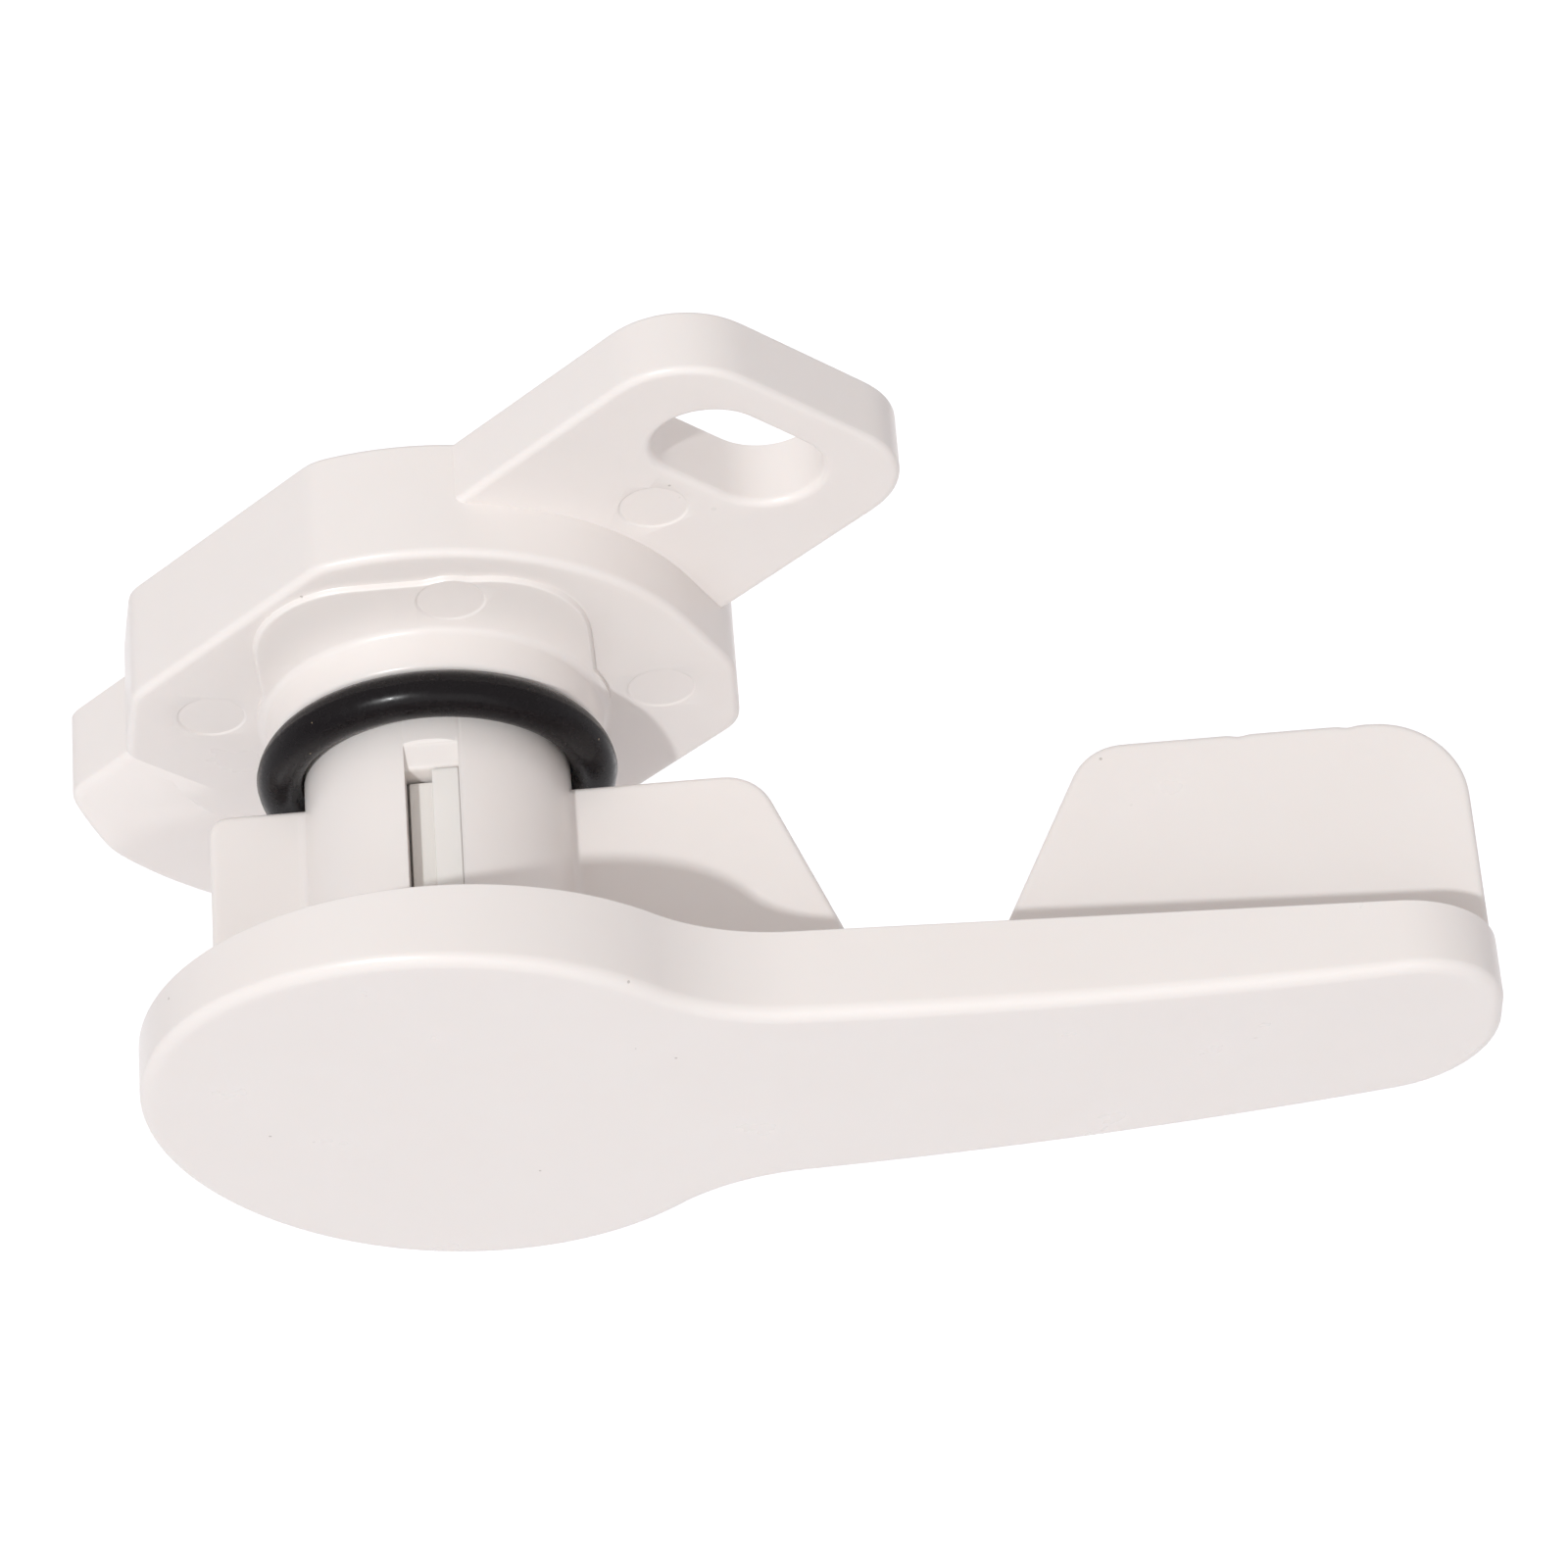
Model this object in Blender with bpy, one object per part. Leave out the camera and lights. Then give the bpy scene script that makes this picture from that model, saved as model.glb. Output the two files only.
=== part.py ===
"""Plastic turn latch: a lever on a hollow stem that turns in a screwed-on bearing body.

Frame: the origin is on the spindle axis, in the flat mounting face at the back of the bearing body.
The spindle axis is Y, and -Y points outwards, towards the lever. +X runs along the lever towards its
tip, and +Z is up. Heights called "out" are distances along -Y from the mounting face.
"""
import math

import bmesh
import bpy
from mathutils import Vector

MM = 0.001

# Driving dimensions, in millimetres.
CLEARANCE = 0.3
STEM_RADIUS = 8.0
STEM_BORE_RADIUS = 5.9
STEM_FOOT = 3.0
STEM_BORE_END = 28.5

BLOCK_THICKNESS = 7.75
BLOCK_ARC_RADIUS = 17.7
BLOCK_FLAT_OFFSET = 15.8
BLOCK_RIGHT_EDGE = 18.4
BLOCK_RIGHT_TOP = 2.5
BLOCK_LEFT_CORNER = (-19.0, -2.1)
BLOCK_LEFT_LEAN = 1.2
BLOCK_RIGHT_CORNER_RADIUS = 1.8
PAD_HALF_WIDTH = 10.1
PAD_TOP = 15.0
PAD_CORNER_RADIUS = 6.5
PAD_HEIGHT = 0.45

EAR_ANGLE = 45.0
EAR_HALF_WIDTH = 10.25
SCREW_EAR_REACH = 33.8
SCREW_EAR_CORNER_RADIUS = 5.2
SCREW_EAR_THICKNESS = 4.2
SLOT_CENTRE = 27.7
SLOT_WIDTH = 6.8
SLOT_LENGTH = 11.2
NOSE_REACH = 25.1
NOSE_BEVEL_START = -14.6
NOSE_BEVEL_CREST = 6.0
NOSE_BEVEL_DROP = 1.85

COLLAR_RADIUS = 10.15
COLLAR_END = 10.8
O_RING_CENTRE_RADIUS = 9.55
O_RING_SECTION_RADIUS = 1.25
O_RING_CENTRE_OUT = 12.35

RECESS_RADIUS = 12.3
RECESS_DEPTH = 3.6
STOP_GROOVE_DEPTH = 3.2
ROOT_OVERLAP = 1.5
STOP_GROOVE_RADIUS = 14.3
TURN_RANGE = 90.0
STOP_LUG_RADIUS = 13.9
STOP_LUG_HALF_ANGLE = 8.0
STOP_PLAY_ANGLE = 1.5

CORE_HEAD_RADIUS = 11.9
CORE_HEAD_BACK = 0.6
CORE_HEAD_FRONT = 2.4
STOP_LUG_FRONT = 2.2
CORE_RADIUS = 5.6
CORE_BORE_RADIUS = 3.4
CORE_END = 27.5
CORE_END_CHAMFER = 0.8
ARM_SLOT_START = 9.0
ARM_SLOT_WIDTH = 0.8
ARM_HALF_WIDTH = 2.2
TONGUE_LEFT = 0.15
TONGUE_RIGHT = 1.45
TONGUE_RADIUS = 7.5
TONGUE_END = 26.2
TONGUE_TIP = 16.5
TONGUE_ROOT_RADIUS = 4.0
TONGUE_RAMP = 1.2
TONGUE_SEAT_LEFT = -1.25
TONGUE_SEAT_RADIUS = 6.6

WASHER_INNER_RADIUS = 8.5
WASHER_OUTER_RADIUS = 11.7
WASHER_THICKNESS = 0.3
WASHER_WAVE = 0.12
WASHER_WAVES = 3

WINDOW_LEFT = -1.45
WINDOW_RIGHT = 1.75
WINDOW_TOP = 14.2
WINDOW_STEP = 16.2
WINDOW_BOTTOM = 26.6
WINDOW_STEP_DEPTH = 1.0
WINDOW_ENTRY_DEPTH = 0.2
WINDOW_ENTRY_FLARE = 0.6

PLATE_BACK = 30.25
HUB_RADIUS = 18.2
NECK_FILLET_RADIUS = 12.0
ARM_HALF_WIDTH_NEAR = 9.7
ARM_HALF_WIDTH_FAR = 7.2
ARM_NEAR_X = 20.0
ARM_FAR_X = 60.0
LEVER_TIP = 61.4
LEVER_TIP_RADIUS = 6.4
FACE_CROWN_X = 24.6
FACE_CROWN_OUT = 35.95
FACE_CROWN_RADIUS = 417.0

FIN_HALF_THICKNESS = 1.25
FIN_EDGE = 14.4
FIN_SLOPE_ANGLE = 23.0
FAR_FIN_SLOPE_ANGLE = 27.0
LEFT_FIN_END = -13.7
RIGHT_FIN_FOOT = 25.9
RIGHT_FIN_HEEL = 16.9
RIGHT_FIN_HEEL_RADIUS = 3.0
LEFT_FIN_CORNER_RADIUS = 1.0
FAR_FIN_FOOT = 30.5
FAR_FIN_HEEL = 41.2
FAR_FIN_END = 61.2
FAR_FIN_HEEL_RADIUS = 3.4
FAR_FIN_CORNER_RADIUS = 5.3
FIN_ROOT = 31.7

OVERRUN = 1.0
CIRCLE_STEPS = 64
CORNER_STEPS = 6
CROWN_STEPS = 24

EAR_ROTATION = math.radians(EAR_ANGLE)


def clear_scene():
    for item in list(bpy.data.objects):
        bpy.data.objects.remove(item, do_unlink=True)


def plastic(name, colour, roughness, metallic=0.0):
    """A Principled material: a linear colour, a roughness and a metallic value."""
    material = bpy.data.materials.new(name)
    material.use_nodes = True
    shader = material.node_tree.nodes["Principled BSDF"]
    shader.inputs["Base Color"].default_value = (*colour, 1.0)
    shader.inputs["Roughness"].default_value = roughness
    shader.inputs["Metallic"].default_value = metallic
    return material


def arc(centre, radius, start, end, steps=CORNER_STEPS):
    """Points on a circular arc from the start angle to the end angle, in degrees."""
    points = []
    for step in range(steps + 1):
        angle = math.radians(start + (end - start) * step / steps)
        points.append((centre[0] + radius * math.cos(angle), centre[1] + radius * math.sin(angle)))
    return points


def turned_points(points, angle):
    """The same 2D points turned about the origin by an angle in radians."""
    cosine, sine = math.cos(angle), math.sin(angle)
    return [(a * cosine - b * sine, a * sine + b * cosine) for a, b in points]


def mesh_object(name, bm, material=None):
    bmesh.ops.recalc_face_normals(bm, faces=bm.faces)
    mesh = bpy.data.meshes.new(name)
    bm.to_mesh(mesh)
    bm.free()
    mesh.shade_smooth()
    mesh.set_sharp_from_angle(angle=math.radians(30))
    item = bpy.data.objects.new(name, mesh)
    bpy.context.scene.collection.objects.link(item)
    if material:
        mesh.materials.append(material)
    return item


def prism(name, outline, near, far, material=None, direction="out"):
    """A prism: an outline in X and Z raised along -Y, or one in X and out raised along Z."""
    bm = bmesh.new()
    if direction == "out":
        corners = [bm.verts.new((a * MM, -near * MM, b * MM)) for a, b in outline]
        shift = Vector((0.0, -(far - near) * MM, 0.0))
    else:
        corners = [bm.verts.new((a * MM, -b * MM, near * MM)) for a, b in outline]
        shift = Vector((0.0, 0.0, (far - near) * MM))
    face = bm.faces.new(corners)
    raised = bmesh.ops.extrude_face_region(bm, geom=[face])
    moved = [part for part in raised["geom"] if isinstance(part, bmesh.types.BMVert)]
    bmesh.ops.translate(bm, verts=moved, vec=shift)
    return mesh_object(name, bm, material)


def turned(name, profile, material=None, wave=None):
    """A ring turned about the spindle axis from a closed profile of (radius, out) points.

    wave(angle) adds a height to each point, which makes a flat washer wavy.
    """
    bm = bmesh.new()
    rings = []
    for step in range(CIRCLE_STEPS):
        angle = 2.0 * math.pi * step / CIRCLE_STEPS
        lift = wave(angle) if wave else 0.0
        ring = []
        for radius, out in profile:
            place = (radius * math.cos(angle) * MM, -(out + lift) * MM, radius * math.sin(angle) * MM)
            ring.append(bm.verts.new(place))
        rings.append(ring)
    count = len(profile)
    for step, ring in enumerate(rings):
        following = rings[(step + 1) % CIRCLE_STEPS]
        for place in range(count):
            after = (place + 1) % count
            bm.faces.new((ring[place], ring[after], following[after], following[place]))
    return mesh_object(name, bm, material)


def disc(name, radius, near, far):
    """A round bar on the spindle axis, used to add or to cut."""
    last_angle = 360.0 - 360.0 / CIRCLE_STEPS
    return prism(name, arc((0.0, 0.0), radius, 0.0, last_angle, CIRCLE_STEPS - 1), near, far)


def loft(name, first, second):
    """A closed solid between two matching rings of 3D points."""
    bm = bmesh.new()
    rings = [[bm.verts.new(point) for point in ring] for ring in (first, second)]
    bm.faces.new(rings[0])
    bm.faces.new(rings[1])
    count = len(first)
    for place in range(count):
        after = (place + 1) % count
        bm.faces.new((rings[0][place], rings[0][after], rings[1][after], rings[1][place]))
    return mesh_object(name, bm)


def combine(item, other, operation):
    """Adds a Boolean to the item; the other shape becomes a hidden guide."""
    other.hide_render = True
    other.display_type = "WIRE"
    modifier = item.modifiers.new(f"{operation.lower()}_{other.name}", "BOOLEAN")
    modifier.operation = operation
    modifier.solver = "EXACT"
    modifier.object = other
    return item


def block_outline():
    """The bearing block: an arc about the spindle, cut by two flats, with a straight side left and right."""
    corner_angle = math.degrees(math.acos(BLOCK_FLAT_OFFSET / BLOCK_ARC_RADIUS))
    reach = math.hypot(BLOCK_RIGHT_EDGE, BLOCK_RIGHT_TOP)
    bearing = math.degrees(math.atan2(BLOCK_RIGHT_TOP, BLOCK_RIGHT_EDGE))
    tangent_angle = bearing + math.degrees(math.acos(BLOCK_ARC_RADIUS / reach))
    flat_left_angle = 90.0 + EAR_ANGLE
    points = arc((0.0, 0.0), BLOCK_ARC_RADIUS, tangent_angle, flat_left_angle - corner_angle, 16)
    flat = BLOCK_FLAT_OFFSET * math.sqrt(2.0)
    left_x, left_z = BLOCK_LEFT_CORNER
    upper_left_x = left_x + BLOCK_LEFT_LEAN
    points.append((upper_left_x, flat + upper_left_x))
    points.append((left_x, left_z))
    points.extend(arc((0.0, 0.0), BLOCK_ARC_RADIUS, 200.0, 315.0 - corner_angle, 12))
    radius = BLOCK_RIGHT_CORNER_RADIUS
    corner_x = BLOCK_RIGHT_EDGE - radius
    corner_z = corner_x - flat + radius * math.sqrt(2.0)
    points.extend(arc((corner_x, corner_z), radius, -EAR_ANGLE, 0.0, 4))
    points.append((BLOCK_RIGHT_EDGE, BLOCK_RIGHT_TOP))
    return points


def screw_ear_outline():
    """The slotted ear, along its own axis: a bar with two rounded far corners."""
    radius = SCREW_EAR_CORNER_RADIUS
    inner = SCREW_EAR_REACH - radius
    side = EAR_HALF_WIDTH - radius
    points = [(0.0, EAR_HALF_WIDTH), (0.0, -EAR_HALF_WIDTH)]
    points.extend(arc((inner, -side), radius, -90.0, 0.0))
    points.extend(arc((inner, side), radius, 0.0, 90.0))
    return turned_points(points, EAR_ROTATION)


def nose_outline():
    """The hook-in nose opposite the ear: a bar ended by an arc about the spindle."""
    half_angle = math.degrees(math.asin(EAR_HALF_WIDTH / NOSE_REACH))
    points = [(0.0, -EAR_HALF_WIDTH), (0.0, EAR_HALF_WIDTH)]
    points.extend(arc((0.0, 0.0), NOSE_REACH, 180.0 - half_angle, 180.0 + half_angle, 10))
    return turned_points(points, EAR_ROTATION)


def nose_bevel_cutter():
    """A wedge that slopes the upper side of the nose down towards its edge."""
    far = -NOSE_REACH - OVERRUN
    side = EAR_HALF_WIDTH + OVERRUN
    slope = NOSE_BEVEL_DROP / (EAR_HALF_WIDTH - NOSE_BEVEL_CREST)
    top = BLOCK_THICKNESS + OVERRUN
    section = [
        (NOSE_BEVEL_CREST - OVERRUN / slope, top),
        (side, top),
        (side, BLOCK_THICKNESS - slope * (side - NOSE_BEVEL_CREST)),
    ]
    rings = []
    for along in (NOSE_BEVEL_START, far):
        turned_section = [(turned_points([(along, across)], EAR_ROTATION)[0], out) for across, out in section]
        rings.append([(x * MM, -out * MM, z * MM) for (x, z), out in turned_section])
    return loft("nose_bevel_cutter", *rings)


def pad_outline():
    """The low pad round the collar, with two rounded upper corners."""
    radius = PAD_CORNER_RADIUS
    side = PAD_HALF_WIDTH - radius
    points = [(-PAD_HALF_WIDTH, 0.0), (PAD_HALF_WIDTH, 0.0)]
    points.extend(arc((side, PAD_TOP - radius), radius, 0.0, 90.0))
    points.extend(arc((-side, PAD_TOP - radius), radius, 90.0, 180.0))
    return points


def slot_outline():
    """The screw slot, across the ear."""
    radius = SLOT_WIDTH / 2.0
    reach = SLOT_LENGTH / 2.0 - radius
    points = arc((SLOT_CENTRE, reach), radius, 0.0, 180.0, 12)
    points.extend(arc((SLOT_CENTRE, -reach), radius, 180.0, 360.0, 12))
    return turned_points(points, EAR_ROTATION)


def stop_groove_outline():
    """The sector in which the stop lug turns: the lever's range plus a little play."""
    spare = STOP_LUG_HALF_ANGLE + STOP_PLAY_ANGLE
    outer = arc((0.0, 0.0), STOP_GROOVE_RADIUS, -spare, TURN_RANGE + spare, 20)
    inner = arc((0.0, 0.0), RECESS_RADIUS - ROOT_OVERLAP, TURN_RANGE + spare, -spare, 20)
    return outer + inner


def make_bearing_body(material):
    """The fixed moulding: block, screw ear, hook-in nose and collar, bored for the stem."""
    body = prism("bearing_body", block_outline(), 0.0, BLOCK_THICKNESS, material)
    combine(body, prism("screw_ear_shape", screw_ear_outline(), 0.0, SCREW_EAR_THICKNESS), "UNION")
    combine(body, prism("nose_shape", nose_outline(), 0.0, BLOCK_THICKNESS), "UNION")
    combine(body, prism("pad_shape", pad_outline(), ROOT_OVERLAP, BLOCK_THICKNESS + PAD_HEIGHT), "UNION")
    combine(body, disc("collar_shape", COLLAR_RADIUS, ROOT_OVERLAP, COLLAR_END), "UNION")
    combine(body, nose_bevel_cutter(), "DIFFERENCE")
    cutters = (
        prism("screw_slot_cutter", slot_outline(), -OVERRUN, SCREW_EAR_THICKNESS + OVERRUN),
        disc("spindle_bore_cutter", STEM_RADIUS + CLEARANCE, -OVERRUN, COLLAR_END + OVERRUN),
        disc("core_recess_cutter", RECESS_RADIUS, -OVERRUN, RECESS_DEPTH),
        prism("stop_groove_cutter", stop_groove_outline(), -OVERRUN, STOP_GROOVE_DEPTH),
    )
    for cutter in cutters:
        combine(body, cutter, "DIFFERENCE")
    return body


def make_o_ring(material):
    """The rubber ring that seals the stem against the end of the collar."""
    profile = arc((O_RING_CENTRE_RADIUS, O_RING_CENTRE_OUT), O_RING_SECTION_RADIUS, 0.0, 330.0, 11)
    return turned("o_ring", profile, material)


def neck_fillet():
    """Centre of the concave neck arc and its two tangent points, on the hub circle and on the arm edge."""
    taper = (ARM_HALF_WIDTH_NEAR - ARM_HALF_WIDTH_FAR) / (ARM_FAR_X - ARM_NEAR_X)
    lean = math.atan(taper)
    normal = Vector((math.sin(lean), math.cos(lean)))
    anchor = Vector((ARM_NEAR_X, ARM_HALF_WIDTH_NEAR)) + normal * NECK_FILLET_RADIUS
    along = Vector((math.cos(lean), -math.sin(lean)))
    reach = HUB_RADIUS + NECK_FILLET_RADIUS
    projection = anchor.dot(along)
    shift = -projection + math.sqrt(projection ** 2 - anchor.length_squared + reach ** 2)
    centre = anchor + along * shift
    return centre, centre * (HUB_RADIUS / reach), centre - normal * NECK_FILLET_RADIUS, lean


def lever_outline():
    """The lever plate from outside: a round hub, two concave necks, a tapering arm and a rounded tip."""
    centre, hub_point, _, lean = neck_fillet()
    hub_angle = math.degrees(math.atan2(hub_point.y, hub_point.x))
    lean_degrees = math.degrees(lean)
    radius = LEVER_TIP_RADIUS
    edge_at_tip = ARM_HALF_WIDTH_NEAR - math.tan(lean) * (LEVER_TIP - radius - ARM_NEAR_X)
    tip_centre = (LEVER_TIP - radius, edge_at_tip - radius / math.cos(lean))
    upper = arc(tip_centre, radius, 0.0, 90.0 - lean_degrees, 8)
    upper.extend(arc(centre, NECK_FILLET_RADIUS, 270.0 - lean_degrees, 180.0 + hub_angle, 8))
    upper.extend(arc((0.0, 0.0), HUB_RADIUS, hub_angle + 5.0, 180.0, 20))
    lower = [(x, -z) for x, z in reversed(upper[:-1])]
    return upper + lower


def crowned_side():
    """Side view of the plate's thickness: a flat back, and a face bowed along the lever's length."""
    start, end = -HUB_RADIUS - OVERRUN, LEVER_TIP + OVERRUN
    steps = CROWN_STEPS
    points = [(end, PLATE_BACK), (start, PLATE_BACK)]
    for step in range(steps + 1):
        x = start + (end - start) * step / steps
        points.append((x, FACE_CROWN_OUT - (x - FACE_CROWN_X) ** 2 / (2.0 * FACE_CROWN_RADIUS)))
    return points


def stem_fin_outline():
    """The web through the stem: a short square end to the left, a sloped end towards the notch."""
    points = [(RIGHT_FIN_FOOT, FIN_ROOT), (LEFT_FIN_END, FIN_ROOT)]
    radius = LEFT_FIN_CORNER_RADIUS
    points.extend(arc((LEFT_FIN_END + radius, FIN_EDGE + radius), radius, 180.0, 270.0, 3))
    radius = RIGHT_FIN_HEEL_RADIUS
    points.extend(arc((RIGHT_FIN_HEEL, FIN_EDGE + radius), radius, 270.0, 360.0 - FIN_SLOPE_ANGLE))
    return points


def far_fin_outline():
    """The web near the lever's tip: a sloped end towards the notch, and a large rounded outer corner."""
    points = [(FAR_FIN_END, FIN_ROOT), (FAR_FIN_FOOT, FIN_ROOT)]
    radius = FAR_FIN_HEEL_RADIUS
    points.extend(arc((FAR_FIN_HEEL, FIN_EDGE + radius), radius, 180.0 + FAR_FIN_SLOPE_ANGLE, 270.0))
    radius = FAR_FIN_CORNER_RADIUS
    points.extend(arc((FAR_FIN_END - radius, FIN_EDGE + radius), radius, 270.0, 360.0))
    return points


def window_cutter(side):
    """A stem window: full depth where the core's tongue catches, a sloped entry above it.

    side is 1 for the upper window and -1 for the one opposite.
    """
    section = [
        (STEM_RADIUS + OVERRUN, WINDOW_TOP - WINDOW_ENTRY_FLARE),
        (STEM_RADIUS - WINDOW_ENTRY_DEPTH, WINDOW_TOP),
        (STEM_RADIUS - WINDOW_STEP_DEPTH, WINDOW_STEP),
        (STEM_BORE_RADIUS - OVERRUN, WINDOW_STEP),
        (STEM_BORE_RADIUS - OVERRUN, WINDOW_BOTTOM),
        (STEM_RADIUS + OVERRUN, WINDOW_BOTTOM),
    ]
    rings = []
    for x in (WINDOW_LEFT * side, WINDOW_RIGHT * side):
        rings.append([(x * MM, -out * MM, height * side * MM) for height, out in section])
    return loft("window_cutter_up" if side > 0 else "window_cutter_down", *rings)


def make_lever_handle(material):
    """The turning moulding: crowned plate, webs and hollow stem with two windows."""
    lever = prism("lever_handle", lever_outline(), PLATE_BACK, FACE_CROWN_OUT + OVERRUN, material)
    side = HUB_RADIUS + OVERRUN
    combine(lever, prism("crown_shape", crowned_side(), -side, side, direction="up"), "INTERSECT")
    half = FIN_HALF_THICKNESS
    combine(lever, prism("stem_fin_shape", stem_fin_outline(), -half, half, direction="up"), "UNION")
    combine(lever, prism("far_fin_shape", far_fin_outline(), -half, half, direction="up"), "UNION")
    combine(lever, disc("stem_shape", STEM_RADIUS, STEM_FOOT, FIN_ROOT), "UNION")
    bore = disc("stem_bore_cutter", STEM_BORE_RADIUS, STEM_FOOT - OVERRUN, STEM_BORE_END)
    combine(lever, bore, "DIFFERENCE")
    combine(lever, window_cutter(1), "DIFFERENCE")
    combine(lever, window_cutter(-1), "DIFFERENCE")
    return lever


def stop_lug_outline():
    half = STOP_LUG_HALF_ANGLE
    outer = arc((0.0, 0.0), STOP_LUG_RADIUS, -half, half, 4)
    inner = arc((0.0, 0.0), CORE_HEAD_RADIUS - ROOT_OVERLAP, half, -half, 4)
    return outer + inner


def tongue_outline(side, outer):
    """A snap tongue or its seat from the side: it stands out of the arm into the stem's window."""
    inner = TONGUE_ROOT_RADIUS
    ramp = TONGUE_END - TONGUE_RAMP
    points = [(inner, TONGUE_TIP), (outer, TONGUE_TIP), (outer, ramp), (inner, TONGUE_END)]
    return [(height * side, out) for height, out in points]


def tongue_shape(name, side, left, outer):
    rings = []
    for x in (left * side, TONGUE_RIGHT * side):
        rings.append([(x * MM, -out * MM, height * MM) for height, out in tongue_outline(side, outer)])
    return loft(name, *rings)


def arm_slot_cutter(name, x):
    """One of the two saw cuts that free the snap arms at the end of the core."""
    half = ARM_SLOT_WIDTH / 2.0
    reach = CORE_RADIUS + OVERRUN
    outline = [(x - half, -reach), (x + half, -reach), (x + half, reach), (x - half, reach)]
    return prism(name, outline, ARM_SLOT_START, CORE_END + OVERRUN)


def make_retaining_core(material):
    """The core pushed in from the back: a head with a stop lug, and a split tube with two snap tongues."""
    profile = [
        (CORE_BORE_RADIUS, CORE_HEAD_BACK),
        (CORE_HEAD_RADIUS, CORE_HEAD_BACK),
        (CORE_HEAD_RADIUS, CORE_HEAD_FRONT),
        (CORE_RADIUS, CORE_HEAD_FRONT),
        (CORE_RADIUS, CORE_END - CORE_END_CHAMFER),
        (CORE_RADIUS - CORE_END_CHAMFER, CORE_END),
        (CORE_BORE_RADIUS, CORE_END),
    ]
    core = turned("retaining_core", profile, material)
    for label, side in (("up", 1), ("down", -1)):
        seat = tongue_shape(f"seat_{label}_shape", side, TONGUE_SEAT_LEFT, TONGUE_SEAT_RADIUS)
        combine(core, seat, "UNION")
        tongue = tongue_shape(f"tongue_{label}_shape", side, TONGUE_LEFT, TONGUE_RADIUS)
        combine(core, tongue, "UNION")
    combine(core, prism("stop_lug_shape", stop_lug_outline(), CORE_HEAD_BACK, STOP_LUG_FRONT), "UNION")
    combine(core, arm_slot_cutter("arm_slot_left_cutter", -ARM_HALF_WIDTH), "DIFFERENCE")
    combine(core, arm_slot_cutter("arm_slot_right_cutter", ARM_HALF_WIDTH), "DIFFERENCE")
    return core


def washer_lift(angle):
    return WASHER_WAVE * math.sin(WASHER_WAVES * angle)


def make_wave_washer(material):
    """The steel spring washer between the core's head and the floor of the recess."""
    middle = (CORE_HEAD_FRONT + RECESS_DEPTH) / 2.0
    low = middle - WASHER_THICKNESS / 2.0
    high = middle + WASHER_THICKNESS / 2.0
    profile = [
        (WASHER_INNER_RADIUS, low),
        (WASHER_OUTER_RADIUS, low),
        (WASHER_OUTER_RADIUS, high),
        (WASHER_INNER_RADIUS, high),
    ]
    return turned("wave_washer", profile, material, wave=washer_lift)


def main():
    clear_scene()
    white = plastic("white_moulded_plastic", (0.82, 0.78, 0.75), 0.42)
    natural = plastic("natural_acetal", (0.80, 0.78, 0.74), 0.38)
    rubber = plastic("black_rubber", (0.012, 0.011, 0.010), 0.35)
    steel = plastic("spring_steel", (0.55, 0.55, 0.56), 0.3, 1.0)
    make_bearing_body(white)
    make_o_ring(rubber)
    axis_empty = bpy.data.objects.new("lever_axis", None)
    bpy.context.scene.collection.objects.link(axis_empty)
    for piece in (make_lever_handle(white), make_retaining_core(natural), make_wave_washer(steel)):
        piece.parent = axis_empty


main()
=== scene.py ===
# %% [markdown]
# # A plastic turn latch
# The real latch is a small injection-moulded fitting. A body is screwed to a flat surface, a lever on a
# hollow stem turns in it, and a black rubber ring seals the two. Out of sight, a core pushed in from the
# back snaps into a window in the stem, and a thin wave washer takes up the play.
#
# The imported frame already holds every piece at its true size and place. This lesson gives each piece the
# surface that it has when it comes out of its mould: rounded edges, soft steps, pin marks and plastic
# that is neither quite smooth nor quite one colour.

# %% Load the frame
import math

import bmesh
import bpy
import numpy as np
from mathutils import Matrix, Vector


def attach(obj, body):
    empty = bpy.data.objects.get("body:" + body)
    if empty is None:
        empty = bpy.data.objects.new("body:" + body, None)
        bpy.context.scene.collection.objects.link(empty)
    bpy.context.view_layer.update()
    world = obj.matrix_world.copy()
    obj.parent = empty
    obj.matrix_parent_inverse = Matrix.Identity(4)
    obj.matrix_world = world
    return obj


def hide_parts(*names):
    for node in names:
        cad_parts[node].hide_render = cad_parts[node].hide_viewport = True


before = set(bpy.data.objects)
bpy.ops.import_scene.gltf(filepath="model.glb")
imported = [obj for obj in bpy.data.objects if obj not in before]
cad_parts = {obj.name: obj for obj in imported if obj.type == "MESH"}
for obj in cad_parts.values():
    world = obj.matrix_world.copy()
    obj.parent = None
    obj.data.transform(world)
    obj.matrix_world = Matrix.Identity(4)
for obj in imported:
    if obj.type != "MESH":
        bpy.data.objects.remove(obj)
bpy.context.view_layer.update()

# %% [markdown]
# ## Lines in the plane
# A moulded part is mostly flat shapes with thickness, so each one starts as a closed line. A toolmaker's
# line is straights and arcs, and no corner of it is truly sharp, because a cutter has a radius. So the
# line is cut into equal steps and its corners are softened by averaging. That keeps every straight run
# straight, which a Subdivision Surface modifier wouldn't.

# %% Arcs, turns and softened loops
MM = 0.001
LINE_STEP = 0.25


def arc(centre, radius, start, end, count=48):
    """Points centre + radius (cos a, sin a), where a runs evenly from start to end, in degrees."""
    angle = np.radians(np.linspace(start, end, count))
    return np.column_stack((centre[0] + radius * np.cos(angle), centre[1] + radius * np.sin(angle)))


def turn(points, degrees):
    """Points turned about the origin: (x cos t - z sin t, x sin t + z cos t)."""
    cosine, sine = math.cos(math.radians(degrees)), math.sin(math.radians(degrees))
    return np.asarray(points) @ np.array([[cosine, sine], [-sine, cosine]])


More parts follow.
